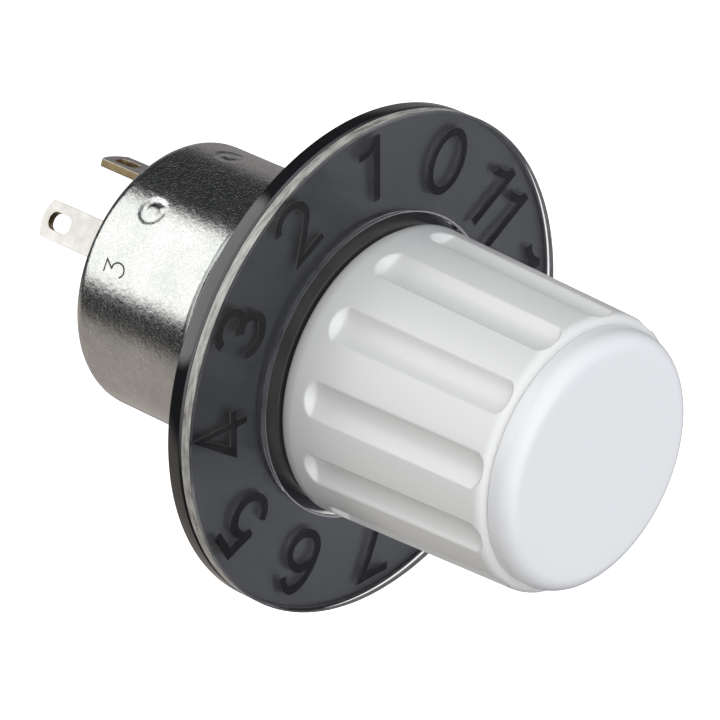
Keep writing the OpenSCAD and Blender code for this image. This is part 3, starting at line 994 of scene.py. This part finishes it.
class TurnCopies:
    """Geometry Nodes that set copies of one sector round the shaft's axis and merge them."""

    inputs = (("Count", "NodeSocketInt"), ("Step", "NodeSocketFloat"),
              ("Merge", "NodeSocketFloat"), ("Finish", "NodeSocketMaterial"))
    merge = 0.0015

    @classmethod
    def tree(cls) -> bpy.types.NodeTree:
        """Builds the tree, with inputs for the count, the step and the finish.

        Returns:
            The tree.
        """
        tree = bpy.data.node_groups.new("turn_copies", "GeometryNodeTree")
        face = tree.interface
        face.new_socket("Sector", in_out="INPUT", socket_type="NodeSocketGeometry")
        for name, kind in cls.inputs:
            face.new_socket(name, in_out="INPUT", socket_type=kind)
        face.new_socket("Ring", in_out="OUTPUT", socket_type="NodeSocketGeometry")
        add, link = tree.nodes.new, tree.links.new
        given, result = add("NodeGroupInput"), add("NodeGroupOutput")
        points = add("GeometryNodeMeshLine")
        points.inputs["Offset"].default_value = (0, 0, 0)
        onto = add("GeometryNodeInstanceOnPoints")
        index = add("GeometryNodeInputIndex")
        turn = add("ShaderNodeMath")
        turn.operation = "MULTIPLY"
        angles = add("ShaderNodeCombineXYZ")
        real = add("GeometryNodeRealizeInstances")
        weld = add("GeometryNodeMergeByDistance")
        finish = add("GeometryNodeSetMaterial")
        link(given.outputs["Count"], points.inputs["Count"])
        link(points.outputs[0], onto.inputs["Points"])
        link(given.outputs["Sector"], onto.inputs["Instance"])
        link(index.outputs[0], turn.inputs[0])
        link(given.outputs["Step"], turn.inputs[1])
        link(turn.outputs[0], angles.inputs[1])
        link(angles.outputs[0], onto.inputs["Rotation"])
        link(onto.outputs[0], real.inputs[0])
        link(real.outputs[0], weld.inputs["Geometry"])
        link(given.outputs["Merge"], weld.inputs["Distance"])
        link(weld.outputs[0], finish.inputs["Geometry"])
        link(given.outputs["Finish"], finish.inputs["Material"])
        link(finish.outputs[0], result.inputs[0])
        return tree

    @classmethod
    def ring(cls, sector: bpy.types.Object, count: int, finish: bpy.types.Material,
             crease: float) -> bpy.types.Object:
        """Turns a sector into a whole ring.

        Args:
            sector: Mesh of one sector, which becomes the ring.
            count: Copies in a full turn.
            finish: Material of the ring.
            crease: Angle from which an edge stays sharp.

        Returns:
            The ring as a plain mesh.
        """
        step = sector.modifiers.new("ring", "NODES")
        step.node_group = cls.tree()
        names = {s.name: s.identifier for s in step.node_group.interface.items_tree
                 if s.in_out == "INPUT"}
        step[names["Count"]] = count
        step[names["Step"]] = FULL_TURN / count
        step[names["Merge"]] = cls.merge * MM
        step[names["Finish"]] = finish
        applied(sector)
        smoothed(sector, crease)
        return sector


@dataclass
class StakedCan:
    """Drawn steel can with punched stakes and a printed terminal number."""

    wall: float = 0.8
    slack: float = 0.01
    rim: float = 1.6
    front_rim: float = 0.8
    lip: float = 2.0
    hole: float = 5.03
    stake_radius: float = 1.55
    stake_depth: float = 0.11
    stake_from_rear: float = 5.9
    stake_clocks: tuple[float, ...] = (-34.0, 12.0, 146.0, 192.0)
    dish_end: float = 1.12
    dish_fade: float = 0.25
    dot_end: float = 0.62
    dot_fade: float = 0.22
    dot_rise: float = 0.75
    notch_at: Point = (0.75, 0.9)
    notch_size: Point = (0.3, 0.35)
    notch_rise: float = 0.6
    print_clock: float = -61.5
    print_station: float = -12.0
    print_height: float = 2.9
    print_thick: float = 0.02
    print_pen: float = 0.062
    segments: int = 440
    row_step: float = 0.24
    end_step: float = 1.5
    crease: float = 40.0
    rear: float = field(init=False)
    front: float = field(init=False)
    radius: float = field(init=False)

    def __post_init__(self) -> None:
        """Reads the can's place from the frame."""
        self.rear, self.front, self.radius = extent("housing_can")

    def build(self, finishes: Finishes) -> None:
        """Makes the can and its print.

        Args:
            finishes: Every finish, by name.
        """
        can = turned("can_shell", refined(self.section(), self.longest), self.segments,
                     self.crease, self.pressed)
        can.data.materials.append(finishes["zinc"])
        dressed(can, Body.HOUSING, "can_steel", "housing_can")
        number = NumberBlock(self.print_height, self.print_thick,
                             numerals=Numerals(self.print_pen, True)).make(
                                 "terminal_number", "3", self.on_wall)
        number.data.materials.append(finishes["ink"])
        dressed(number, Body.HOUSING, "can_steel")

    def on_wall(self, across: np.ndarray, up: np.ndarray, out: np.ndarray) -> np.ndarray:
        """Seats a flat place of the print on the can's wall, tops towards the rear."""
        clock = math.radians(self.print_clock) + across / self.radius
        return place(self.radius + out, clock, self.print_station - up)

    def section(self) -> np.ndarray:
        """Draws the can's half section.

        Returns:
            Its points.
        """
        inside = self.radius - self.wall
        lip_r = self.radius - self.lip
        return rounded((
            (self.front, self.hole, 0), (self.front, self.radius, self.front_rim),
            (self.rear, self.radius, self.rim), (self.rear, lip_r, 0.15),
            (self.rear + self.wall, lip_r, 0.15),
            (self.rear + self.wall, inside, self.rim - self.wall),
            (self.front - self.wall, inside, 0.2), (self.front - self.wall, self.hole, 0)))

    def wall_from(self) -> float:
        """The radius from which a row lies on the wall."""
        return self.radius - self.wall - self.slack

    def longest(self, here: Point, ahead: Point) -> float:
        """Fine rows on the wall and coarse ones on the flat ends."""
        return self.row_step if min(here[1], ahead[1]) > self.wall_from() else self.end_step

    def pressed(self, station: np.ndarray, r: np.ndarray, clock: np.ndarray) -> np.ndarray:
        """Presses the stakes into the wall.

        Args:
            station: Stations of the rows.
            r: Their radii.
            clock: Clock angles of the columns, in radians.

        Returns:
            The radii with the stakes.
        """
        made = np.broadcast_to(r, np.broadcast_shapes(r.shape, clock.shape)).copy()
        for stake in self.stake_clocks:
            off = (clock - math.radians(stake) + math.pi) % FULL_TURN - math.pi
            across, along = off * self.radius, station - (self.rear + self.stake_from_rear)
            made -= self.stake(across, along) * (r > self.wall_from())
        return made

    def stake(self, across: np.ndarray, along: np.ndarray) -> np.ndarray:
        """Shapes a stake mark: a ring groove round a low dot, in a shallow dish.

        Args:
            across: Distances from its middle round the can.
            along: Distances from its middle towards the front.

        Returns:
            The depth of the mark.
        """
        away = np.hypot(across, along) / self.stake_radius
        dish = eased((self.dish_end - away) / self.dish_fade)
        dot = eased((self.dot_end - away) / self.dot_fade)
        notch = np.exp(-((across - self.notch_at[0]) / self.notch_size[0]) ** 2
                       - ((along - self.notch_at[1]) / self.notch_size[1]) ** 2)
        return (self.stake_depth * dish * (1 - self.dot_rise * dot)
                * (1 - self.notch_rise * notch))


@dataclass
class ThreadedBushing:
    """Plated bushing with its real thread, flange, bore and seal groove."""

    radius: float = 5.0
    chamfer: float = 0.5
    pitch: float = 0.75
    depth: float = 0.42
    crest: float = 1.25
    flank: float = 2.9
    run_out_from: float = 0.2
    run_out: float = 0.9
    thread_room: float = 0.6
    flange_r: float = 8.5
    flange_t: float = 1.6
    flange_front: float = -0.83
    bore: float = 3.03
    seal_at: float = 5.5
    seal_w: float = 1.4
    seal_r: float = 4.05
    segments: int = 144
    rows_in_pitch: int = 10
    plain_step: float = 4.0
    crease: float = 50.0

    def build(self, finishes: Finishes) -> None:
        """Makes the bushing.

        Args:
            finishes: Every finish, by name.
        """
        made = turned("bushing", refined(self.section(), self.longest), self.segments,
                      self.crease, self.threaded)
        made.data.materials.append(finishes["nickel"])
        dressed(made, Body.HOUSING, "bushing_metal", "threaded_bushing")

    def section(self) -> np.ndarray:
        """Draws the bushing's half section, without its thread.

        Returns:
            Its points.
        """
        front = extent("threaded_bushing")[1]
        back = self.flange_front - self.flange_t
        seal_end = self.seal_at + self.seal_w
        return rounded((
            (back, self.bore, 0), (back, self.flange_r, 0.1),
            (self.flange_front, self.flange_r, 0.1), (self.flange_front, self.radius, 0),
            (front - self.chamfer, self.radius, 0.05), (front, self.radius - self.chamfer, 0.05),
            (front, self.bore, 0.1), (seal_end, self.bore, 0), (seal_end, self.seal_r, 0),
            (self.seal_at, self.seal_r, 0), (self.seal_at, self.bore, 0)), 4)

    def longest(self, here: Point, ahead: Point) -> float:
        """Limits the rows' steps.

        Args:
            here: Start of a stretch.
            ahead: Its end.

        Returns:
            A step fine enough for the thread on the thread, and a long one elsewhere.
        """
        inner, outer = min(here[1], ahead[1]), max(here[1], ahead[1])
        on_thread = inner > self.radius - self.thread_room and outer < self.radius + 0.1
        if on_thread and min(here[0], ahead[0]) > -1:
            return self.pitch / self.rows_in_pitch
        return self.plain_step

    def threaded(self, station: np.ndarray, r: np.ndarray, clock: np.ndarray) -> np.ndarray:
        """Cuts the thread's groove.

        Args:
            station: Stations of the rows.
            r: Their radii.
            clock: Clock angles of the columns, in radians.

        Returns:
            The radii with the thread.
        """
        phase = (station / self.pitch + clock / FULL_TURN) % 1.0
        groove = np.clip(self.crest - np.abs(phase - 0.5) * self.flank, 0, 1)
        start = np.clip((station - self.run_out_from) / self.run_out, 0, 1)
        cut = self.radius - self.depth * groove * start
        outer = ((r > self.radius - self.thread_room) & (r < self.radius + 0.05)
                 & (station > self.flange_front + 0.01))
        return np.where(outer, np.minimum(r, cut), r)


@dataclass
class NumberDial:
    """Black backing disc, clear number disc and the figures behind the clear disc's face."""

    edge: float = 0.2
    gap: float = 0.01
    backing_hole: float = 7.03
    clear_hole: float = 16.6
    hole_round: float = 0.3
    hub_front: float = 14.0
    hub_outer: float = 15.5
    hub_inner: float = 12.6
    recess: float = 0.5
    recess_outer: float = 27.1
    figure_radius: float = 22.25
    figure_height: float = 7.35
    figure_thick: float = 0.20
    figure_bevel: float = 0.06
    positions: int = 12
    first_clock: float = 30.0
    edge_tilt: float = 0.3
    line_tilt: float = 0.1
    line_share: float = 0.8
    face_tilt: float = 0.9
    segments: int = 384
    crease: float = 25.0
    back: float = field(init=False)
    middle: float = field(init=False)
    front: float = field(init=False)
    radius: float = field(init=False)

    def __post_init__(self) -> None:
        """Reads the two discs' places from the frame."""
        self.back, self.middle, self.radius = extent("dial_backing")
        self.front = extent("dial_disc")[1]

    def build(self, finishes: Finishes) -> None:
        """Makes the two discs and the figures.

        Args:
            finishes: Every finish, by name.
        """
        backing = turned("black_backing", self.backing_section(), self.segments, self.crease)
        faced(backing, finishes, ("dial black", "dial floor", "dial hub", "dial rim"),
              self.backing_finish)
        dressed(backing, Body.SPINDLE, "dial_black", "dial_backing")
        clear = turned("clear_disc", self.clear_section(), self.segments, self.crease)
        faced(clear, finishes, ("clear", "clear edge", "clear line"), self.clear_finish)
        dressed(clear, Body.SPINDLE, "dial_clear", "dial_disc")
        for number in range(self.positions):
            self.figure(number, finishes)

    def rim(self, back: float, front: float) -> list[Corner]:
        """Draws a disc's outer edge, broken on both sides.

        Args:
            back: Station of the disc's rear face.
            front: Station of its front face.

        Returns:
            Four corners, from the rear to the front.
        """
        inner = self.radius - self.edge
        return [(back, inner, 0.05), (back + self.edge, self.radius, 0.05),
                (front - self.edge, self.radius, 0.05), (front, inner, 0.05)]

    def backing_section(self) -> np.ndarray:
        """Draws the black disc, with a recess behind the figures and a low hub ring.

        Returns:
            The points of its half section.
        """
        front = self.middle - self.gap
        floor = front - self.recess
        return rounded((
            (self.back, self.backing_hole, 0.05), *self.rim(self.back, front),
            (front, self.recess_outer, 0.05), (floor, self.recess_outer, 0.1),
            (floor, self.hub_outer, 0.1), (self.hub_front, self.hub_outer, 0.15),
            (self.hub_front, self.hub_inner, 0.1), (front, self.hub_inner, 0.1),
            (front, self.backing_hole, 0.08)), 3)

    def backing_finish(self, face: bpy.types.MeshPolygon) -> str:
        """Chooses a finish on the black disc.

        Args:
            face: One of its faces.

        Returns:
            Name of the finish.
        """
        if from_axis(face) > self.radius - self.edge:
            return "dial rim"
        if -face.center.y / MM <= self.middle - self.recess - 0.05:
            return "dial black"
        return "dial hub" if from_axis(face) < self.hub_outer + 0.02 else "dial floor"

    def clear_section(self) -> np.ndarray:
        """Draws the clear ring.

        Returns:
            The points of its half section.
        """
        back = self.middle + self.gap
        return rounded(((back, self.clear_hole, 0.05), *self.rim(back, self.front),
                        (self.front, self.clear_hole, self.hole_round)), 5)

    def clear_finish(self, face: bpy.types.MeshPolygon) -> str:
        """Chooses a finish on the clear ring.

        Args:
            face: One of its faces.

        Returns:
            Name of the finish.
        """
        # The outer rim is frosted like a sawn edge, and its beige tint is a painted reflection.
        if abs(face.normal.y) < self.edge_tilt and from_axis(face) > self.radius - 1:
            return "clear edge"
        # The hole's front corner takes a pale, mostly unclear finish: a painted highlight line.
        highlight_end = self.clear_hole + self.hole_round * self.line_share
        on_highlight = face.normal.y < -self.line_tilt and from_axis(face) < highlight_end
        return "clear line" if on_highlight else "clear"

    def figure(self, number: int, finishes: Finishes) -> None:
        """Makes one figure of the dial, its top outwards.

        Args:
            number: The number.
            finishes: Every finish, by name.
        """
        clock = math.radians(self.first_clock - 360 / self.positions * number)
        base = self.middle + self.gap

        def seat(across: np.ndarray, up: np.ndarray, out: np.ndarray) -> np.ndarray:
            """Finds places of the figure on the clear disc's rear face.

            Args:
                across: Places to the figure's right.
                up: Places towards its top.
                out: Places in front of the rear face.

            Returns:
                Points of the frame.
            """
            radial = self.figure_radius + up
            x = radial * math.sin(clock) + across * math.cos(clock)
            z = radial * math.cos(clock) - across * math.sin(clock)
            return np.stack([x, -(base + out), z], -1)

        block = NumberBlock(self.figure_height, self.figure_thick, self.figure_bevel)
        made = block.make(f"dial_figure_{number}", str(number), seat)
        # The figure's walls are a lighter grey than its fill: a painted glint along the edges,
        # together with their real gloss.
        faced(made, finishes, ("figure", "figure edge"),
              lambda face: "figure edge" if abs(face.normal.y) < self.face_tilt else "figure")
        dressed(made, Body.SPINDLE, "dial_black")


@dataclass
class FlutedKnob:
    """Moulded knob with twelve flutes, its hub inside, and the cap on its front."""

    base_gap: float = 1.1
    base_break: float = 0.4
    front_edge: float = 1.0
    front_trim: float = 0.16
    wall_slack: float = 0.2
    cut_room: float = 0.8
    joint_step: float = 0.15
    flutes: int = 12
    ball: float = 2.6
    depth: float = 0.95
    soft: float = 0.16
    half_turn: float = 7.4
    lip_turn: Point = (0.036, 0.024)
    end_back: float = 18.15
    end_front: float = 40.1
    end_slope: float = 1.5
    end_bow: float = 0.4
    end_half: float = 2.0
    end_soft: float = 0.12
    end_zone: float = 1.1
    row_step: float = 0.1
    inner_step: float = 3.0
    rows_apart: int = 10
    crease: float = 38.0
    web: float = 2.4
    pocket: float = 6.4
    pocket_inset: float = 1.5
    hub_r: float = 8.2
    spigot_r: float = 7.0
    cavity_r: float = 11.95
    cone_r: float = 5.33
    cone_len: float = 6.0
    cone_inset: float = 0.9
    seat_r: float = 4.03
    cap_edge: float = 1.8
    cap_gap: float = 0.03
    cap_plug: float = 3.4
    cap_wall: float = 1.4
    cap_top: float = 2.2
    cap_step: float = 1.2
    cap_segments: int = 384
    cap_crease: float = 40.0
    back: float = field(init=False)
    joint: float = field(init=False)
    base: float = field(init=False)
    base_r: float = field(init=False)
    front: float = field(init=False)
    front_r: float = field(init=False)
    cap_r: float = field(init=False)
    wall_r: float = field(init=False)
    clear_back: float = field(init=False)
    taper: float = field(init=False)

    def __post_init__(self) -> None:
        """Reads the knob's, the cap's and the dial's places from the frame."""
        self.back, self.joint, self.base_r = extent("knob_body")
        _, self.front, self.cap_r = extent("knob_cap")
        self.clear_back, clear_front, _ = extent("dial_disc")
        self.base = clear_front + self.base_gap
        self.front_r = self.cap_r + self.front_edge
        self.wall_r = self.front_r - self.wall_slack
        self.taper = (self.base_r - self.front_r) / (self.joint - self.base)

    def build(self, finishes: Finishes) -> None:
        """Makes the knob's body and its cap.

        Args:
            finishes: Every finish, by name.
        """
        body = TurnCopies.ring(self.sector(), self.flutes, finishes["knob white"], self.crease)
        dressed(body, Body.SPINDLE, "knob_plastic", "knob_body")
        cap = self.cap()
        cap.data.materials.append(finishes["cap white"])
        dressed(cap, Body.SPINDLE, "cap_plastic", "knob_cap")

    def section(self) -> np.ndarray:
        """Draws the body's half section, from the hub round the outside.

        Returns:
            Its points.
        """
        floor = self.joint - self.pocket
        web_back = floor - self.web
        pocket_r = self.cap_r - self.pocket_inset
        cone_back = self.base - self.cone_inset
        step = self.joint - self.joint_step
        step_r = self.front_r - self.front_edge
        return rounded((
            (self.back, self.cone_r, 0), (cone_back, self.cone_r, 0),
            (cone_back + self.cone_len, self.seat_r, 0), (floor, self.seat_r, 0.1),
            (floor, pocket_r, 0.3), (self.joint, pocket_r, 0.15), (self.joint, step_r, 0.06),
            (step, step_r, 0), (step, self.front_r, self.front_edge - self.front_trim),
            (self.base, self.base_r, self.base_break), (self.base, self.cavity_r, 0.2),
            (web_back, self.cavity_r, 0.5), (web_back, self.hub_r, 0.5),
            (self.clear_back, self.hub_r, 0.1), (self.clear_back, self.spigot_r, 0),
            (self.back, self.spigot_r, 0.1)))

    def sector(self) -> bpy.types.Object:
        """Makes one flute with half a land to each side.

        Returns:
            The open sector.
        """
        half = math.pi / self.flutes
        edge = math.radians(self.half_turn)
        before, after = edge - self.lip_turn[0], edge + self.lip_turn[1]
        side = np.concatenate([np.linspace(0, before, 7)[:-1],
                               np.linspace(before, after, 11)[:-1],
                               np.linspace(after, half, 7)])
        clock = np.concatenate([-side[:0:-1], side])[None, :]
        section = self.thinned(refined(self.section(), self.longest))
        station, radius = section[:, :1], section[:, 1:]
        cut = self.fluted(station, radius, clock)
        shaped = np.where(radius > self.wall_r - self.cut_room, cut, radius)
        points = place(shaped, clock + half, station)
        return mesh_object("knob_body_fluted", points,
                           grid_faces(len(section), clock.size, False))

    def longest(self, here: Point, ahead: Point) -> float:
        """Fine rows on the fluted wall and coarse ones inside."""
        return self.inner_step if min(here[1], ahead[1]) < self.wall_r else self.row_step

    def thinned(self, section: np.ndarray) -> np.ndarray:
        """Drops most rows of the plain stretches away from the flutes' ends.

        Args:
            section: The section's rows.

        Returns:
            The rows that are kept.
        """
        kept = []
        for i, (station, radius) in enumerate(section):
            near = min(abs(station - self.end_back), abs(station - self.end_front))
            if radius < self.wall_r or near < self.end_zone or i % self.rows_apart == 0:
                kept.append((station, radius))
        return np.array(kept)

    def fluted(self, station: np.ndarray, radius: np.ndarray, clock: np.ndarray) -> np.ndarray:
        """Cuts the flute into the wall and softens its edges.

        Args:
            station: Stations of the rows.
            radius: Their radii.
            clock: Clock angles from the flute's middle, in radians.

        Returns:
            The radii with the flute.
        """
        centre = self.base_r - self.taper * (station - self.base) + self.ball - self.depth
        room = self.ball ** 2 - (centre * np.sin(clock)) ** 2
        reach = np.sqrt(np.abs(room))
        hit = centre * np.cos(clock) - np.where(room > 0, reach, -reach)
        across = (self.base_r * np.sin(clock) / self.end_half) ** 2
        back = self.end_back + self.end_bow * across
        front = self.end_front - self.end_bow * across ** 2
        hit += self.end_slope * (self.ramp(back - station) + self.ramp(station - front))
        blend = np.clip(0.5 + 0.5 * (hit - radius) / self.soft, 0, 1)
        return hit * (1 - blend) + radius * blend - self.soft * blend * (1 - blend)

    def ramp(self, value: np.ndarray) -> np.ndarray:
        """A straight rise from zero with a small fillet at its foot."""
        blend = np.clip(0.5 + 0.5 * value / self.end_soft, 0, 1)
        return value * blend + self.end_soft * blend * (1 - blend)

    def cap(self) -> bpy.types.Object:
        """Makes the pressed-in cap with its rounded rim.

        Returns:
            The cap.
        """
        plug_r = self.cap_r - self.pocket_inset - self.cap_gap
        hollow_r = plug_r - self.cap_wall
        seat = self.joint + self.cap_gap
        plug = self.joint - self.cap_plug
        inner = self.front - self.cap_top
        section = rounded((
            (self.front, 0, 0), (self.front, self.cap_r, self.cap_edge),
            (seat, self.cap_r, 0.12), (seat, plug_r, 0), (plug, plug_r, 0.2),
            (plug, hollow_r, 0.1), (inner, hollow_r, 0.3), (inner, 0, 0)), 14)
        made = turned("knob_cap_front", refined(section, lambda here, ahead: self.cap_step),
                      self.cap_segments, self.cap_crease)
        with opened(made.data) as work:
            axis = [edge for edge in work.edges if not edge.link_faces]
            bmesh.ops.delete(work, geom=axis, context="EDGES")
        return made


@dataclass
class BrokenEdges:
    """Copies of the frame's turned and stamped pieces, with their edges broken."""

    width: float
    crease: float = 32.0
    flat_within: float = 0.4

    def build(self, name: str, node: str, finish: bpy.types.Material, body: Body,
              slot: str) -> bpy.types.Object:
        """Makes one piece from its node.

        Args:
            name: Name of the piece.
            node: The node that it stands for.
            finish: Its material.
            body: The body that it moves with.
            slot: The record's material slot.

        Returns:
            The piece.
        """
        made = linked(name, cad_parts[node].data.copy())
        made.data.name = name
        with opened(made.data) as work:
            bmesh.ops.remove_doubles(work, verts=work.verts, dist=1e-6)
            bmesh.ops.dissolve_limit(work, angle_limit=math.radians(self.flat_within),
                                     verts=work.verts, edges=work.edges)
        step = made.modifiers.new("edges", "BEVEL")
        step.width = self.width * MM
        step.segments = 2
        step.limit_method = "ANGLE"
        step.angle_limit = math.radians(self.crease)
        step.harden_normals = False
        applied(made)
        made.data.materials.clear()
        made.data.materials.append(finish)
        made.data.shade_smooth()
        made.data.set_sharp_from_angle(angle=math.radians(self.crease))
        made.modifiers.new("weight", "WEIGHTED_NORMAL").keep_sharp = True
        applied(made)
        return dressed(made, body, slot, node)


@dataclass
class SolderLugs:
    """Three stamped lugs: tinned on both faces, bare brass where they were cut."""

    edge: float = 0.18
    cut_tilt: float = 0.3
    turns: dict[str, float] = field(default_factory=lambda: {
        "terminal_1": 89.6, "terminal_2": 17.6, "terminal_3": -54.4})

    def build(self, finishes: Finishes) -> None:
        """Makes the three lugs.

        Args:
            finishes: Every finish, by name.
        """
        for number, (node, turn) in enumerate(self.turns.items(), 1):
            made = BrokenEdges(self.edge).build(f"solder_lug_{number}", node, finishes["tin"],
                                                Body.HOUSING, "lug_metal")
            made.data.materials.append(finishes["cut brass"])
            clock = math.radians(turn)
            out = Vector((math.sin(clock), 0, math.cos(clock)))
            for face in made.data.polygons:
                face.material_index = int(abs(face.normal.dot(out)) < self.cut_tilt)


@dataclass
class PanelHardware:
    """Turned and stamped pieces between the can and the dial, and the can's rear plate."""

    pieces: tuple[tuple[str, str, str, Body, str, float], ...] = (
        ("peg", "locating_peg", "nut zinc", Body.HOUSING, "can_steel", 0.05),
        ("tooth_washer", "lock_washer", "washer zinc", Body.HOUSING, "washer_metal", 0.05),
        ("hex_nut", "panel_nut", "nut zinc", Body.HOUSING, "nut_metal", 0.08),
        ("rear_plate", "terminal_plate", "plate resin", Body.HOUSING, "plate_resin", 0.08),
        ("ground_shaft", "shaft", "steel", Body.SPINDLE, "shaft_steel", 0.05),
        ("snap_ring", "retaining_ring", "spring steel", Body.SPINDLE, "ring_steel", 0.05),
    )

    def build(self, finishes: Finishes) -> None:
        """Makes each piece from its node."""
        for name, node, finish, body, slot, width in self.pieces:
            BrokenEdges(width).build(name, node, finishes[finish], body, slot)


@dataclass
class InsideWorks:
    """Pieces of the frame that keep their own meshes and only take a finish."""

    finish_of: dict[str, str] = field(default_factory=lambda: {
        "stop_ring": "washer zinc", "shaft_seal": "rubber", "element_disc": "ceramic",
        "resistive_track": "cermet", "conductor_film": "silver", "terminal_rivets": "silver",
        "thrust_washer": "bronze", "rotor": "rotor resin", "wiper_spring": "bronze",
        "collet": "brass", "collet_washer": "washer zinc", "collet_nut": "brass"})

    def build(self, finishes: Finishes) -> None:
        """Gives each piece its finish.

        Args:
            finishes: Every finish, by name.
        """
        for node, finish in self.finish_of.items():
            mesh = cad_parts[node].data
            mesh.materials.clear()
            mesh.materials.append(finishes[finish])
            LOG.info("%s: %s", node, finish)


def finish_shelf() -> Finishes:
    """Makes every finish once.

    Returns:
        The materials, under a maker's name for each.
    """
    shelf = {
        "zinc": ZincPlate(),
        "nickel": Metal("nickel_plate", (0.62, 0.60, 0.56), (0.56, 0.54, 0.50), 0.24, 0.004,
                        True),
        "nut zinc": Metal("nut_zinc", (0.60, 0.61, 0.60), (0.50, 0.51, 0.50), 0.30),
        "washer zinc": Metal("washer_zinc", (0.55, 0.55, 0.53), (0.45, 0.46, 0.45), 0.34),
        "steel": Metal("ground_steel", (0.50, 0.50, 0.50), (0.43, 0.43, 0.43), 0.22, 0.004,
                       True),
        "spring steel": Metal("spring_steel", (0.25, 0.25, 0.27), (0.18, 0.18, 0.20), 0.38),
        "tin": Metal("tin_plate", (0.57, 0.555, 0.53), (0.47, 0.455, 0.42), 0.28, 0.012),
        "cut brass": Metal("cut_brass", (0.50, 0.39, 0.22), (0.36, 0.27, 0.15), 0.38, 0.01),
        "brass": Metal("turned_brass", (0.72, 0.52, 0.24), (0.62, 0.44, 0.20), 0.26, 0.004,
                       True),
        "bronze": Metal("spring_bronze", (0.66, 0.45, 0.28), (0.56, 0.37, 0.22), 0.30),
        "silver": Metal("silver_film", (0.80, 0.80, 0.78), (0.70, 0.70, 0.68), 0.48, 0.01),
        "ink": Plastic("print_ink", (0.035, 0.035, 0.04), (0.06, 0.06, 0.06), 0.55, 0.002),
        "figure": Plastic("figure_fill", (0.006, 0.006, 0.007), (0.006, 0.006, 0.007), 0.4,
                          texture=0, specular=0.1),
        # Lighter grey walls of the figures: a painted glint.
        "figure edge": Plastic("figure_wall", (0.045, 0.045, 0.048), (0.03, 0.03, 0.03), 0.3,
                               texture=0),
        "dial black": Plastic("backing_black", (0.010, 0.010, 0.011), (0.014, 0.014, 0.016),
                              0.22, 0.002, 1.5),
        "dial rim": Plastic("backing_rim", (0.008, 0.008, 0.009), (0.010, 0.010, 0.011), 0.07,
                            texture=0, specular=1.0),
        "dial hub": Plastic("hub_ring", (0.060, 0.059, 0.057), (0.050, 0.049, 0.047), 0.40,
                            0.01, 5.0),
        "dial floor": Metal("backing_floor", (0.055, 0.057, 0.067), (0.052, 0.054, 0.063),
                            0.42, marks=0),
        "clear": ClearAcrylic(bend=1.25),
        # Rim: the sawn frosting is real, and its beige tint and pale glow are a painted
        # reflection.
        "clear edge": ClearAcrylic("clear_acrylic_edge", (0.76, 0.74, 0.68), sawn=0.16,
                                   clear_share=0.74),
        # Pale, mostly unclear finish on the hole's front corner: a painted highlight line.
        "clear line": ClearAcrylic("clear_acrylic_corner", (0.80, 0.80, 0.78), sawn=0.20,
                                   clear_share=0.30),
        "knob white": Plastic("knob_white", (0.84, 0.84, 0.824), (0.836, 0.836, 0.82), 0.26,
                              texture=0),
        "cap white": Plastic("cap_white", (0.88, 0.883, 0.895), (0.88, 0.883, 0.895), 0.22,
                             texture=0),
        "plate resin": Plastic("plate_resin", (0.022, 0.020, 0.018), (0.035, 0.032, 0.028),
                               0.5, 0.02, 2.5),
        "rotor resin": Plastic("rotor_resin", (0.03, 0.035, 0.05), (0.04, 0.045, 0.06), 0.45),
        "ceramic": Plastic("alumina", (0.82, 0.81, 0.77), (0.78, 0.77, 0.73), 0.55, 0.01),
        "cermet": Plastic("cermet_track", (0.03, 0.035, 0.035), (0.045, 0.05, 0.05), 0.42,
                          0.01),
        "rubber": Plastic("seal_rubber", (0.012, 0.012, 0.012), (0.02, 0.02, 0.02), 0.6, 0.01),
    }
    return {name: finish.material() for name, finish in shelf.items()}


def main() -> None:
    """Builds the studio and every piece, in order."""
    logging.basicConfig(level=logging.INFO, format="%(name)s %(message)s")
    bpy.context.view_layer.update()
    Studio().build()
    finishes = finish_shelf()
    for maker in (StakedCan, ThreadedBushing, PanelHardware, SolderLugs, NumberDial,
                  FlutedKnob, InsideWorks):
        maker().build(finishes)


if __name__ == "__main__":
    main()
